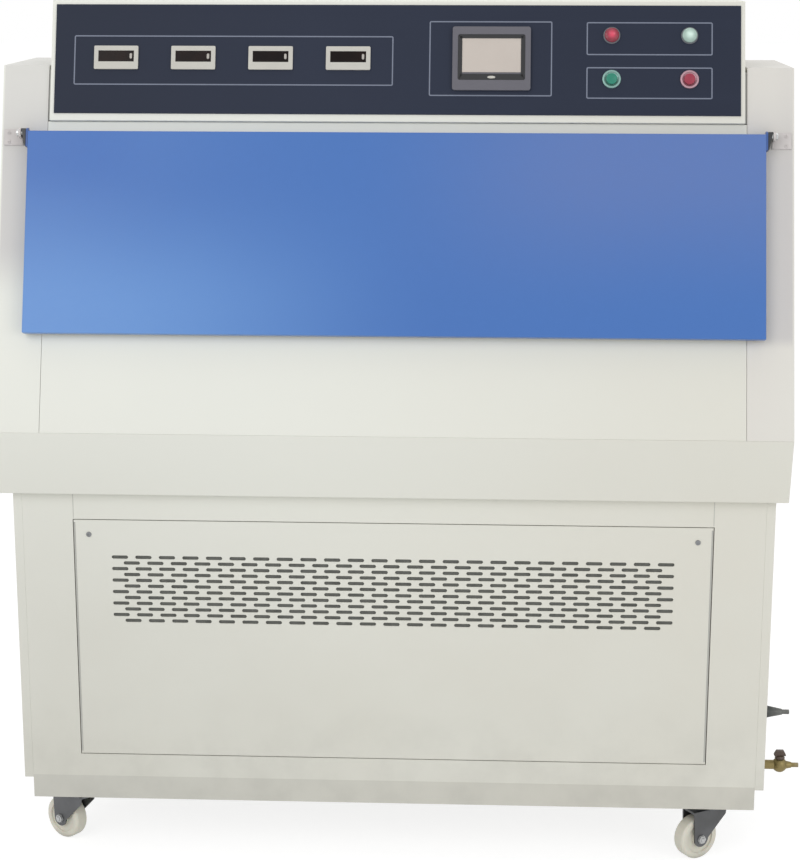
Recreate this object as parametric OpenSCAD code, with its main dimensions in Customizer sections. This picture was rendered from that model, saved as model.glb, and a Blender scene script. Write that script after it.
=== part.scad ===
// UV weathering test chamber: a lamp cabinet with sloping faces on a wheeled base.
// Origin on the floor under the middle of the cabinet, +X to the viewer's right,
// +Y to the back, +Z up. Lengths in millimetres.
// Places on a sloping face are given as x, s up the slope from the belly edge, and
// n outwards from the face.

/* [Cabinet] */
// Width over both end cheeks
cabinet_w = 1300; // [1240:10:1500]
// Depth from the front belly edge to the rear one
cabinet_d = 620; // [600:10:700]
// Height of the belly edge, where the sloping faces start
belly_z = 760; // [740:5:800]
// Height of the cabinet's underside on the base
cabinet_bottom_z = 650; // [600:5:660]
// How far the underside stands back from the belly edge
belly_tuck = 27; // [10:1:40]
// Slope of the front and rear faces from vertical, in degrees
slant = 18; // [16:0.5:19]
// Height of the end cheeks
cheek_top_z = 1341; // [1330:1:1370]
// Width of an end cheek
cheek_w = 76; // [70:1:100]
// Thickness of the painted sheet
sheet = 2; // [1:0.5:2.5]

/* [Doors] */
// How far a door laps over an end cheek
door_lap = 28; // [21:1:33]
// Distance up the slope to a door's lower edge
door_s = 162; // [158:1:168]
// Length of a door up the slope
door_l = 334; // [326:1:338]
// Thickness of a door
door_t = 16; // [12:1:24]
// Thickness of the door seals
seal_t = 5.7; // [3:0.1:8]
// Width of the door seals
seal_w = 8; // [5:1:8]
// Radius of the hinge pins
pin_r = 4; // [2.5:0.5:5]

/* [Control box] */
// Distance up the slope to the control box
box_s = 517; // [512:1:530]
// Length of the sloping control face
box_l = 203; // [190:1:240]
// How far the control face stands proud of the sloping face
box_proud = 6; // [3:1:12]
// Distance from the control box's flat top to the middle plane, at the rear
box_top_back = 60; // [20:5:100]
// Margin of the control face beside the control plate
plate_margin = 7; // [5:1:20]
// Length of the control plate up the slope
plate_l = 183; // [170:1:190]
// Thickness of the control plate
plate_t = 2; // [1:0.5:3]
// Distance between two counters
counter_pitch = 127.8; // [90:0.1:132]
// Width of a counter's bezel
counter_w = 73; // [60:1:80]
// Height of a counter's bezel
counter_h = 39; // [30:1:50]
// Width of the screen's bezel
screen_w = 128; // [110:1:160]
// Height of the screen's bezel
screen_h = 106; // [95:1:120]
// Distance between the two columns of lamps and buttons
button_pitch_x = 126.6; // [60:0.1:130]
// Distance between the lamps and the buttons
button_pitch_s = 73; // [45:1:80]
// Radius of a push button's cap
button_r = 9; // [6:0.5:10]
// Travel of a push button
button_travel = 3; // [1:0.5:5]

/* [Base] */
// How far the base's face frame stands in from the cabinet's ends
base_in = 33; // [20:1:50]
// How far the base stands back from the belly edges
base_back = 45; // [30:1:55]
// Height of the base's underside
base_z = 104; // [100:1:120]
// Height of the plinth
plinth_h = 41; // [30:1:60]
// How far the side covers stand proud of the face frame
cover_proud = 15; // [5:1:25]
// How far the side covers reach down over the plinth
cover_lap = 5; // [1:1:10]
// Width of the face frame's stiles
stile_w = 84; // [60:1:120]
// Height of the service panel's lower edge
panel_z = 186; // [170:1:200]
// Distance from the service panel's top to the cabinet's underside
panel_head = 49; // [40:1:90]
// Depth of the service panel's folded edges
panel_fold = 14; // [10:1:20]
// Side of the square frame tube
tube = 30; // [20:1:40]
// Wall of the square frame tube
tube_wall = 2; // [1:0.5:3]

/* [Vent slots] */
// Length of a slot
slot_w = 27.5; // [20:0.5:30]
// Height of a slot
slot_h = 6; // [3:0.5:7]
// Distance between two slots of a row
slot_pitch = 39.6; // [34:0.1:42]
// Distance between two rows
slot_row_pitch = 10.1; // [8:0.1:14]
// Number of rows
slot_rows = 12; // [2:2:16]
// Least margin between the slots and the panel's ends
slot_margin = 55; // [40:1:200]
// Distance from the panel's top to the middle of the first row
slot_top = 64; // [30:1:100]

/* [Chamber] */
// Radius of a UV tube
lamp_r = 19; // [8:0.5:19]
// How far the glass of a UV tube reaches into an end cheek
lamp_in = 11; // [6:1:20]
// Distance between two tubes
lamp_pitch = 70; // [60:1:80]
// Distance from the specimens to the tubes' glass
lamp_gap = 50; // [30:1:55]
// Distance between two holders
bay_pitch = 93; // [70:1:93]
// Width of a holder
holder_w = 90; // [50:1:90]
// Width of a specimen
specimen_w = 75; // [30:1:80]
// Thickness of a specimen
specimen_t = 1.5; // [0.5:0.5:3]
// Depth of the water pan
pan_depth = 70; // [50:1:80]
// Height of the water pan's rim
pan_rim_z = 860; // [850:1:880]
// Radius of the immersion heater's rod
heater_r = 6; // [4:0.5:8]
// Radius of the blower wheel
blower_r = 42; // [30:1:44]
// Number of blades on the blower wheel
blower_blades = 24; // [8:1:36]

/* [Side fittings] */
// Distance from the base's front to the water fittings
fitting_y = 75; // [60:1:150]
// Height of the hose fitting
inlet_z = 254; // [220:1:400]
// Height of the drain valve
drain_z = 157; // [157:1:200]
// Reach of the drain valve from the side cover
drain_reach = 68; // [62:1:90]
// Radius of the drain valve's spigot
drain_r = 4; // [3.5:0.5:8]
// Radius of the hose fitting's spigot
inlet_r = 4; // [3:0.5:6]
// Reach of the isolator's knob from the side cover
isolator_reach = 68; // [50:1:80]

/* [Casters] */
// Diameter of a wheel
wheel_d = 75; // [60:1:78]
// Width of a wheel
wheel_w = 26; // [20:1:32]
// Distance from the swivel's axis to the wheel's axle
trail = 32; // [26:1:40]
// Distance from the base's side to a swivel's axis
caster_in = 66; // [60:1:130]
// Distance from the base's front or rear to a swivel's axis
caster_back = 57; // [55:1:100]
// Radius of a wheel's axle
axle_r = 4; // [3:0.5:6]

/* [Hidden] */
$fn = 48;

running = 0.05;
gap = 0.3;
cut = 1;

// Sloping faces
cheek_in = cabinet_w / 2 - cheek_w;
box_half_w = cheek_in - 4;
door_w = 2 * (cheek_in + door_lap);
fascia_half_w = cheek_in - 0.5;
door_back = seal_t + gap;
door_top = door_s + door_l;
opening_s0 = door_s + seal_w + 2;
opening_s1 = door_top - seal_w - 4;
seal_s0 = opening_s0 - seal_w - 0.5;
seal_s1 = opening_s1 + seal_w + 1.5;
flange = 14;
header_top = box_s - gap;

// Hinges
pivot_s = door_top - 2;
pivot_n = door_back + door_t / 2;
arm_t = 3;
lug_x = door_w / 2 + 12;
lug_t = 4;
lug_r = pin_r + 4;

// Control box
box_floor_z = face_z(box_s, -12);
plate_w = 2 * (box_half_w - plate_margin);
plate_n = box_proud + plate_t;
plate_s1 = box_s + box_l - 8;
plate_s0 = plate_s1 - plate_l;
panel_mid_s = plate_s1 - 90;
first_counter_in = 101.6;
counter_x = -plate_w / 2 + first_counter_in;
counter_body_w = counter_w - 5;
counter_body_h = counter_h - 6;
counter_bezel_t = 3;
window_w = 59;
window_h = 18.5;
window_up = 2.2;
key_w = 4;
key_h = 9;
key_x = 24.5;
key_travel = 1.2;
key_proud = 1;
button_in = 83.4;
button_x = plate_w / 2 - button_in;
controls_mid = (counter_x + 3 * counter_pitch + button_x - button_pitch_x) / 2;
screen_shift = 19.5;
screen_x = controls_mid + screen_shift;
screen_rim = 16;
screen_top = 16;
screen_foot = 30;
screen_body_w = screen_w - 14;
screen_body_h = screen_h - 18;
screen_bezel_t = 5;
button_s = panel_mid_s - 33;
sleeve_r = button_r + 2;
ring_t = 2.5;
lamp_lens_r = 12;

// Base
base_x = cabinet_w / 2 - base_in;
base_y = cabinet_d / 2 - base_back;
plinth_top = base_z + plinth_h;
post_x = base_x - sheet;
post_y = base_y - sheet;
frame_z = base_z + sheet;
deck_t = 2;
opening_x = base_x - stile_w;
panel_h = cabinet_bottom_z - panel_head - panel_z;
panel_gap = 1.5;
panel_x = opening_x - panel_gap;
slot_columns = floor((2 * panel_x - 2 * slot_margin) / slot_pitch);
lip = 40;
screw_in = 25;
screw_r = 2.5;

// Chamber
rack_n0 = -22;
rack_n1 = -4;
rack_sheet = 1.5;
rack_x = cheek_in - 5;
rail_s0 = opening_s0;
rail_s1 = opening_s1;
holder_s0 = rail_s0 + rack_sheet + gap;
holder_s1 = rail_s1 - 10;
holder_n = rack_n0 + rack_sheet + 0.7;
holder_t = 1.5;
specimen_n = holder_n + holder_t;
lamp_n = specimen_n - lamp_gap - lamp_r;
lamp_s = door_s + door_l / 2;
lamp_l = 2 * (cheek_in + lamp_in);
bays = floor((2 * rack_x - 20) / bay_pitch);
liner = 1.8;
roof_z = box_floor_z - liner;
pan_x0 = -cheek_in + 2.2;
pan_x1 = cheek_in - 154;
pan_half_d = cabinet_d / 2 - 55;
pan_wall = 1.5;
blower_x1 = cheek_in - 17;
blower_x0 = blower_x1 - 100;
blower_y = -60;
scroll_r = 52;
scroll_wall = 1.5;
blower_z = cabinet_bottom_z + sheet + scroll_r + 2;
blower_duct_w = 60;
shaft_r = 4;
riser_x = blower_x0 - 22;
riser_r = 7;
header_z = 1200;

// Side fittings
cover_x = base_x + cover_proud;
side_y = -base_y + fitting_y;
ball_x = cover_x + 36;
ball_r = 13;
lever_z = drain_z + 20;
isolator_y = base_y - 155;
isolator_z = 500;
isolator_w = 64;

// Inside the base
plate_y = base_y - 145;
plate_rise = 440;
device_pitch = 110;
ballast_l = 215;
ballast_d = 38;
tank_l = 290;
tank_d = 260;
tank_h = 300;
tank_x1 = riser_x - 55;
tank_x0 = tank_x1 - tank_l;
plate_x0 = -post_x + 75;
plate_x1 = tank_x0 - 150;

// Casters
caster_x = base_x - caster_in;
caster_y = base_y - caster_back;
plate_z = base_z - 3;
race_z = plate_z - 9;
crown_z = race_z - gap - 7;
fork_in = wheel_w / 2 + 1.5;
fork_t = 3;
// Direction of each wheel's trail, seen from above, as it stands in the photograph
heading_front_left = 146;
heading_front_right = 212;
heading_rear_left = 75;
heading_rear_right = 120;

// Y of a point on the front sloping face
function face_y(s, n) = -cabinet_d / 2 + s * sin(slant) - n * cos(slant);
// Z of a point on the front sloping face
function face_z(s, n) = belly_z + s * cos(slant) + n * sin(slant);
// Half the cabinet's depth at height z, a distance inside its sloping faces
function half_depth(z, inside) = cabinet_d / 2 - (z - belly_z) * tan(slant) - inside / cos(slant);
// Unit vector along v
function unit(v) = v / norm(v);
// Left-hand normal of the step from a to b
function normal_of(a, b) = let (d = unit(b - a)) [-d[1], d[0]];
// A counter-clockwise convex outline moved inwards by t
function inset(points, t) = [
    for (i = [0 : len(points) - 1])
        let (
            before = points[(i + len(points) - 1) % len(points)],
            after = points[(i + 1) % len(points)],
            m = normal_of(before, points[i]),
            k = normal_of(points[i], after)
        )
        points[i] + (m + k) * t / (1 + m * k)
];

// Puts its children on the front sloping face, in x, s, n
module on_front() {
    translate([0, -cabinet_d / 2, belly_z])
        rotate([90 - slant, 0, 0])
            children();
}

// Puts its children on the rear sloping face, in x, s, n
module on_rear() {
    mirror([0, 1, 0])
        on_front()
            children();
}

// Puts its children on both sloping faces
module on_both() {
    on_front() children();
    on_rear() children();
}

// Its children on both ends of the cabinet
module both_ends() {
    children();
    mirror([1, 0, 0])
        children();
}

// Extrudes an outline along X from x0, with the outline's axes on the next two
module along_x(x0, length) {
    translate([x0, 0, 0])
        rotate([90, 0, 90])
            linear_extrude(length)
                children();
}

// A box between two corners
module box(low, high) {
    translate(low)
        cube(high - low);
}

// A cylinder along X
module bar_x(x0, x1, r) {
    translate([x0, 0, 0])
        rotate([0, 90, 0])
            cylinder(h = x1 - x0, r = r);
}

// A flat outline with rounded ends, w wide and h high
module obround(w, h) {
    long = max(w, h);
    short = min(w, h);
    rotate(w > h ? 0 : 90) {
        square([long - short, short], center = true);
        for (side = [-1, 1])
            translate([side * (long - short) / 2, 0])
                circle(d = short);
    }
}

// A rectangle with rounded corners, in the middle
module rounded(w, h, r) {
    square([w - 2 * r, h], center = true);
    square([w, h - 2 * r], center = true);
    for (x = [-1, 1], y = [-1, 1])
        translate([x * (w / 2 - r), y * (h / 2 - r)])
            circle(r);
}

// Welded frame of square tube, with the deck plate on top
module base_frame() {
    top = cabinet_bottom_z - deck_t;
    color("gray") {
        difference() {
            box([-post_x, -post_y, frame_z], [post_x, post_y, top]);
            box([-post_x + tube, -post_y - cut, frame_z + tube],
                [post_x - tube, post_y + cut, top - tube]);
            box([-post_x - cut, -post_y + tube, frame_z + tube],
                [post_x + cut, post_y - tube, top - tube]);
            box([-post_x + tube, -post_y + tube, frame_z - cut],
                [post_x - tube, post_y - tube, top + cut]);
            for (x = [-1, 1], y = [-1, 1])
                translate([x * (post_x - tube / 2), y * (post_y - tube / 2), frame_z - cut])
                    linear_extrude(top - frame_z + 2 * cut)
                        square(tube - 2 * tube_wall, center = true);
        }
        difference() {
            box([-post_x, -post_y, top], [post_x, post_y, cabinet_bottom_z]);
            translate([riser_x, 0, top - cut])
                cylinder(h = deck_t + 2 * cut, r = riser_r + 3);
        }
    }
}

// Folded tray that makes the plinth, with the casters under it
module base_pan() {
    color("lightgray")
        difference() {
            box([-base_x, -base_y, base_z], [base_x, base_y, plinth_top]);
            box([-post_x, -post_y, frame_z], [post_x, post_y, plinth_top + cut]);
        }
}

// Face frame round a service panel, with the lip that the panel is screwed to
module face_frame() {
    z0 = panel_z - panel_gap;
    z1 = panel_z + panel_h + panel_gap;
    fold_y = -base_y + panel_fold;
    difference() {
        union() {
            box([-base_x, -base_y, plinth_top], [base_x, -base_y + sheet, cabinet_bottom_z]);
            box([-opening_x - sheet, -base_y, z0 - sheet],
                [opening_x + sheet, fold_y + sheet, z1 + sheet]);
        }
        box([-opening_x, -base_y - cut, z0], [opening_x, fold_y, z1]);
        box([-opening_x + lip, -base_y, z0 + lip], [opening_x - lip, fold_y + 2 * sheet, z1 - lip]);
        for (x = [-1, 1])
            translate([x * (panel_x - screw_in), 0, panel_z + panel_h - screw_in])
                rotate([90, 0, 0])
                    cylinder(h = cabinet_d, r = screw_r + 0.1);
    }
}

module front_frame() {
    color("whitesmoke")
        face_frame();
}

module rear_frame() {
    color("whitesmoke")
        mirror([0, 1, 0])
            face_frame();
}

// Folded covers that stand proud of the base's sides
module side_covers() {
    z0 = plinth_top - cover_lap;
    color("whitesmoke")
        both_ends()
            difference() {
                box([base_x, -base_y, z0], [cover_x, base_y, cabinet_bottom_z - sheet]);
                box([base_x - cut, -base_y + sheet, z0 + sheet],
                    [cover_x - sheet, base_y - sheet, cabinet_bottom_z - 2 * sheet]);
            }
}

// One long or short row of vent slots, as an outline
module slot_row(count) {
    for (i = [0 : count - 1])
        translate([(i - (count - 1) / 2) * slot_pitch, 0])
            obround(slot_w, slot_h);
}

// Slotted service panel with folded edges and holes for its two screws
module vented_panel() {
    difference() {
        box([-panel_x, -base_y, panel_z], [panel_x, -base_y + panel_fold, panel_z + panel_h]);
        box([-panel_x + sheet, -base_y + sheet, panel_z + sheet],
            [panel_x - sheet, base_y, panel_z + panel_h - sheet]);
        translate([0, 0, panel_z + panel_h])
            rotate([90, 0, 0])
                linear_extrude(cabinet_d) {
                    for (row = [0 : slot_rows - 1])
                        translate([0, -slot_top - row * slot_row_pitch])
                            slot_row(slot_columns - row % 2);
                    for (x = [-1, 1])
                        translate([x * (panel_x - screw_in), -screw_in])
                            circle(screw_r + 0.1);
                }
    }
}

module service_panel() {
    color("whitesmoke")
        vented_panel();
}

module rear_panel() {
    color("whitesmoke")
        mirror([0, 1, 0])
            vented_panel();
}

// Pan-head screws through the service panels into the lips behind them
module panel_screws() {
    color("silver")
        for (side = [0, 1], x = [-1, 1])
            mirror([0, side, 0])
                translate([x * (panel_x - screw_in), -base_y, panel_z + panel_h - screw_in])
                    rotate([90, 0, 0]) {
                        cylinder(h = 2, r = 4.5);
                        translate([0, 0, -panel_fold - sheet])
                            cylinder(h = panel_fold + sheet, r = screw_r);
                    }
}

// Outline of the tapered tray under the belly edge
function tray_outline() = [
    [-cabinet_d / 2 + belly_tuck, cabinet_bottom_z],
    [cabinet_d / 2 - belly_tuck, cabinet_bottom_z],
    [cabinet_d / 2, belly_z],
    [-cabinet_d / 2, belly_z]
];

// Tapered tray that carries the upper cabinet
module belly_tray() {
    inner = inset(tray_outline(), sheet);
    color("whitesmoke")
        difference() {
            along_x(-cabinet_w / 2, cabinet_w)
                polygon(tray_outline());
            along_x(-cabinet_w / 2 + sheet, cabinet_w - 2 * sheet)
                polygon([inner[0], inner[1],
                         [inner[2][0], belly_z + cut], [inner[3][0], belly_z + cut]]);
            translate([riser_x, 0, cabinet_bottom_z - cut])
                cylinder(h = sheet + 2 * cut, r = riser_r + 3);
        }
}

// Outline of the cabinet above the belly edge, between two heights
function cabinet_outline(z0, z1, inside) = [
    [-half_depth(z0, inside), z0],
    [half_depth(z0, inside), z0],
    [half_depth(z1, inside), z1],
    [-half_depth(z1, inside), z1]
];

// Holes or rods on the tubes' axes, on both faces
module at_lamps() {
    on_both()
        for (i = [-1.5 : 1.5])
            translate([0, lamp_s + i * lamp_pitch, lamp_n])
                children();
}

// Hollow end cheek with holes for the tubes in its inner wall
module cheek() {
    outline = cabinet_outline(belly_z, cheek_top_z, 0);
    difference() {
        along_x(cheek_in, cheek_w)
            polygon(outline);
        along_x(cheek_in + sheet, cheek_w - 2 * sheet)
            polygon(inset(outline, sheet));
        at_lamps()
            bar_x(cheek_in - cut, cheek_in + sheet + cut, lamp_r + 2);
    }
}

module cheek_right() {
    color("whitesmoke")
        cheek();
}

module cheek_left() {
    color("whitesmoke")
        mirror([1, 0, 0])
            cheek();
}

// Folded sheet below a door, and the header strip above it up to header_s
module fascia(header_s) {
    along_x(-fascia_half_w, 2 * fascia_half_w) {
        polygon([[0, 0], [sheet * tan(slant), -sheet],
                 [opening_s0 - sheet, -sheet], [opening_s0 - sheet, -flange],
                 [opening_s0, -flange], [opening_s0, 0]]);
        polygon([[opening_s1, 0], [opening_s1, -flange],
                 [opening_s1 + sheet, -flange], [opening_s1 + sheet, -sheet],
                 [header_s, -sheet], [header_s, 0]]);
    }
}

module front_fascia() {
    color("whitesmoke")
        on_front()
            fascia(header_top);
}

module rear_fascia() {
    color("whitesmoke")
        on_rear()
            fascia((cheek_top_z - belly_z) / cos(slant));
}

// Outline of the control box, from the control face round the flat top to the rear
function box_outline() = [
    [face_y(box_s, box_proud), face_z(box_s, box_proud)],
    [face_y(box_s, -12), box_floor_z],
    [half_depth(cheek_top_z, sheet) - gap, box_floor_z],
    [half_depth(cheek_top_z, sheet) - gap, cheek_top_z],
    [box_top_back, face_z(box_s + box_l, box_proud)],
    [face_y(box_s + box_l, box_proud), face_z(box_s + box_l, box_proud)]
];

// Control box with a window behind the control plate
module control_box() {
    color("whitesmoke")
        difference() {
            along_x(-box_half_w, 2 * box_half_w)
                polygon(box_outline());
            along_x(-box_half_w + sheet, 2 * (box_half_w - sheet))
                polygon(inset(box_outline(), sheet));
            on_front()
                box([-plate_w / 2 + 15, plate_s0 + 12, box_proud - sheet - cut],
                    [plate_w / 2 - 15, plate_s1 - 12, box_proud + cut]);
        }
}

// Puts its children at a counter, on the plate's surface
module at_counter(i) {
    on_front()
        translate([counter_x + i * counter_pitch, panel_mid_s, plate_n])
            children();
}

// Puts its children at a lamp or button, on the plate's surface
module at_button(column, row) {
    on_front()
        translate([button_x - (1 - column) * button_pitch_x,
                   button_s + row * button_pitch_s, plate_n])
            children();
}

// Plate that carries the counters, the screen, the lamps and the buttons
module control_plate() {
    color("midnightblue")
        difference() {
            on_front()
                box([-plate_w / 2, plate_s0, box_proud], [plate_w / 2, plate_s1, plate_n]);
            for (i = [0 : 3])
                at_counter(i)
                    cube([counter_body_w + 0.4, counter_body_h + 0.4, 4 * plate_t], center = true);
            on_front()
                translate([screen_x, panel_mid_s, plate_n])
                    cube([screen_body_w + 0.4, screen_body_h + 0.4, 4 * plate_t], center = true);
            for (column = [0, 1], row = [0, 1])
                at_button(column, row)
                    cylinder(h = 4 * plate_t, r = sleeve_r + 0.2, center = true);
        }
}

// Counters: bezel and body, with the window's seat and the key's guide
module counters() {
    color("silver")
        for (i = [0 : 3])
            at_counter(i)
                difference() {
                    union() {
                        linear_extrude(counter_bezel_t)
                            rounded(counter_w, counter_h, 2);
                        translate([0, 0, -45])
                            linear_extrude(45)
                                square([counter_body_w, counter_body_h], center = true);
                    }
                    translate([0, window_up, counter_bezel_t - 1.5])
                        linear_extrude(2)
                            square([window_w, window_h], center = true);
                    translate([key_x, window_up, counter_bezel_t - 1.5 - 6])
                        linear_extrude(7)
                            obround(key_w + 0.4, key_h + 0.4);
                }
}

// Dark windows of the counters, and the screen's glass
module display_windows() {
    color("black") {
        for (i = [0 : 3])
            at_counter(i)
                translate([0, window_up, counter_bezel_t - 1.5])
                    linear_extrude(1)
                        difference() {
                            square([window_w - 0.2, window_h - 0.2], center = true);
                            translate([key_x, 0])
                                obround(key_w + 0.6, key_h + 0.6);
                        }
        on_front()
            translate([screen_x, panel_mid_s + (screen_foot - screen_top) / 2,
                       plate_n + screen_bezel_t - 2])
                linear_extrude(1)
                    square([screen_w - 2 * screen_rim, screen_h - screen_top - screen_foot],
                           center = true);
    }
}

// Bezel of the touch screen, with the stepped frame round its glass
module screen_bezel() {
    color("dimgray")
        on_front()
            translate([screen_x, panel_mid_s, plate_n])
                difference() {
                    union() {
                        linear_extrude(screen_bezel_t)
                            rounded(screen_w, screen_h, 4);
                        translate([0, 0, -35])
                            linear_extrude(35)
                                square([screen_body_w, screen_body_h], center = true);
                    }
                    translate([0, 2, screen_bezel_t - 1])
                        linear_extrude(2)
                            rounded(screen_w - screen_rim - 2, screen_h - screen_foot, 3);
                    translate([0, (screen_foot - screen_top) / 2, screen_bezel_t - 2])
                        linear_extrude(2)
                            square([screen_w - 2 * screen_rim + 0.4,
                                screen_h - screen_top - screen_foot + 0.4], center = true);
                }
}

// Domed lens of a pilot lamp, with the stem that goes into its sleeve
module pilot_lens() {
    translate([0, 0, 1.5])
        rotate_extrude() {
            square([lamp_lens_r, 3]);
            translate([0, 3])
                intersection() {
                    scale(lamp_lens_r / 12)
                        translate([0, -13.5])
                            circle(18);
                    square([lamp_lens_r, 8]);
                }
        }
    translate([0, 0, -15])
        cylinder(h = 17, r = button_r - 1);
}

module red_lamp() {
    color("red")
        at_button(0, 1)
            pilot_lens();
}

module white_lamp() {
    color("white")
        at_button(1, 1)
            pilot_lens();
}

// Metal sleeves of the lamps and buttons, clamped in the control plate
module button_rings() {
    color("silver")
        for (column = [0, 1], row = [0, 1])
            at_button(column, row)
                difference() {
                    union() {
                        cylinder(h = row == 1 ? 1.5 : ring_t, r = row == 1 ? 14 : button_r + 6.5);
                        translate([0, 0, -30])
                            cylinder(h = 31, r = sleeve_r);
                    }
                    translate([0, 0, -26])
                        cylinder(h = 40, r = button_r + gap);
                }
}

// Cap and stem of a push button, proud of its ring
module push_button() {
    translate([0, 0, -12])
        cylinder(h = 12 + ring_t + button_travel + 0.5, r = button_r);
}

module green_button() {
    color("green")
        at_button(0, 0)
            push_button();
}

module red_button() {
    color("firebrick")
        at_button(1, 0)
            push_button();
}

// Reset key of a counter
module counter_key(i) {
    color("white")
        at_counter(i)
            translate([key_x, window_up, counter_bezel_t - 1.5 - 6 + key_travel + 0.1])
                linear_extrude(6 - key_travel + 1.4 + key_proud)
                    obround(key_w, key_h);
}

module counter_key_1() counter_key(0);
module counter_key_2() counter_key(1);
module counter_key_3() counter_key(2);
module counter_key_4() counter_key(3);

// Bracket on a cheek's front with the lug that a door's pin turns in
module hinge_bracket() {
    difference() {
        union() {
            box([lug_x, pivot_s - 18, 0], [lug_x + 31, pivot_s + 9, 3]);
            along_x(lug_x, lug_t) {
                translate([pivot_s, pivot_n])
                    circle(lug_r);
                translate([pivot_s - lug_r, 0])
                    square([2 * lug_r, pivot_n]);
            }
        }
        translate([0, pivot_s, pivot_n])
            bar_x(lug_x - cut, lug_x + lug_t + cut, pin_r + running);
    }
}

module hinge_brackets() {
    color("silver")
        both_ends()
            on_both()
                hinge_bracket();
}

// Seals round both door openings
module door_seals() {
    half = cheek_in + 5 + seal_w;
    color("dimgray")
        on_both()
            linear_extrude(seal_t)
                difference() {
                    translate([-half, seal_s0])
                        square([2 * half, seal_s1 - seal_s0]);
                    translate([-half + seal_w, seal_s0 + seal_w])
                        square([2 * (half - seal_w), seal_s1 - seal_s0 - 2 * seal_w]);
                }
}

// Folded outer pan of a door
module door_pan() {
    skin = 1.5;
    difference() {
        box([-door_w / 2, door_s, door_back], [door_w / 2, door_top, door_back + door_t]);
        box([-door_w / 2 + skin, door_s + skin, door_back - cut],
            [door_w / 2 - skin, door_top - skin, door_back + door_t - skin]);
    }
}

// Inner skin of a door, with the hinge arms and pins at its ends
module door_lining() {
    edge = 1.7;
    box([-door_w / 2 + edge, door_s + edge, door_back],
        [door_w / 2 - edge, door_top - edge, door_back + 1.2]);
    both_ends() {
        along_x(door_w / 2, arm_t) {
            translate([pivot_s, pivot_n])
                circle(door_t / 2);
            translate([pivot_s - 24, door_back])
                square([24, door_t]);
        }
        translate([0, pivot_s, pivot_n]) {
            bar_x(door_w / 2 + arm_t, lug_x + lug_t + 4, pin_r);
            bar_x(lug_x + lug_t + 0.5, lug_x + lug_t + 3, pin_r + 2);
        }
    }
}

module front_door() {
    color("royalblue")
        on_front()
            door_pan();
}

module front_door_lining() {
    color("silver")
        on_front()
            door_lining();
}

module rear_door() {
    color("royalblue")
        on_rear()
            door_pan();
}

module rear_door_lining() {
    color("silver")
        on_rear()
            door_lining();
}

// Stainless end plates and roof of the chamber
module chamber_liner() {
    end_x = cheek_in - 0.2;
    color("silver") {
        both_ends()
            difference() {
                along_x(end_x - liner, liner)
                    polygon(cabinet_outline(belly_z + 2, roof_z, 24));
                at_lamps()
                    bar_x(end_x - liner - cut, end_x + cut, lamp_r + 2);
            }
        along_x(-end_x, 2 * end_x)
            polygon(cabinet_outline(roof_z, box_floor_z, sheet + gap));
    }
}

// Water pan, hung by its rim between the fascias
module water_pan() {
    z0 = pan_rim_z - pan_depth;
    color("silver")
        difference() {
            union() {
                box([pan_x0, -pan_half_d, z0], [pan_x1, pan_half_d, pan_rim_z]);
                along_x(pan_x0, pan_x1 - pan_x0)
                    polygon(cabinet_outline(pan_rim_z - 2, pan_rim_z, sheet + gap));
            }
            box([pan_x0 + pan_wall, -pan_half_d + pan_wall, z0 + pan_wall],
                [pan_x1 - pan_wall, pan_half_d - pan_wall, pan_rim_z + cut]);
        }
}

// Immersion heater: a hairpin rod in the pan and its terminal box outside
module pan_heater() {
    z = pan_rim_z - pan_depth + pan_wall + heater_r + 6;
    bend_x = pan_x0 + 192;
    spread = 60;
    color("dimgray")
        translate([0, 135 - pan_half_d, z]) {
            for (side = [-1, 1])
                translate([0, side * spread, 0])
                    bar_x(bend_x, pan_x1 - pan_wall, heater_r);
            translate([bend_x, 0, 0])
                rotate([0, 0, 90])
                    rotate_extrude(angle = 180)
                        translate([spread, 0])
                            circle(heater_r);
            box([pan_x1, -spread - 15, -10], [pan_x1 + 12, spread + 15, 25]);
        }
}

// Glass of the UV tubes, four along each face
module uv_tubes() {
    color("aliceblue")
        at_lamps()
            difference() {
                bar_x(-lamp_l / 2, lamp_l / 2, lamp_r);
                bar_x(-lamp_l / 2 - cut, lamp_l / 2 + cut, lamp_r - 1);
            }
}

// End caps of the tubes and the sockets that hold them inside the cheeks
module lamp_sockets() {
    cap = 15;
    wall_x = cabinet_w / 2 - sheet;
    color("gainsboro")
        both_ends()
            at_lamps() {
                bar_x(lamp_l / 2, lamp_l / 2 + cap, lamp_r);
                bar_x(lamp_l / 2 + cap, lamp_l / 2 + cap + 22, lamp_r - 3);
                box([lamp_l / 2 + cap + 22, -10, -8], [wall_x, 10, 8]);
            }
}

// Rack of one face: the two rails that hold the holders, and the end stiles
module rack() {
    along_x(-rack_x, 2 * rack_x) {
        difference() {
            translate([rail_s0, rack_n0])
                square([6, rack_n1 - rack_n0]);
            translate([rail_s0 + rack_sheet, rack_n0 + rack_sheet])
                square([10, rack_n1 - rack_n0 - 2 * rack_sheet]);
        }
        difference() {
            translate([rail_s1 - 20, rack_n0])
                square([20, rack_n1 - rack_n0]);
            translate([rail_s1 - 25, rack_n0 + rack_sheet])
                square([25 - rack_sheet, rack_n1 - rack_n0 - 2 * rack_sheet]);
        }
    }
    stile = rack_x - bays * bay_pitch / 2;
    for (x = [-rack_x, rack_x - min(stile, 9)])
        box([x, rail_s0 + 6 + gap, rack_n0],
            [x + min(stile, 9), rail_s1 - 20 - gap, rack_n0 + rack_sheet]);
}

module specimen_racks() {
    color("silver")
        on_both()
            rack();
}

// X of the middle of a bay
function bay_x(i) = (i - (bays - 1) / 2) * bay_pitch;

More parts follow.
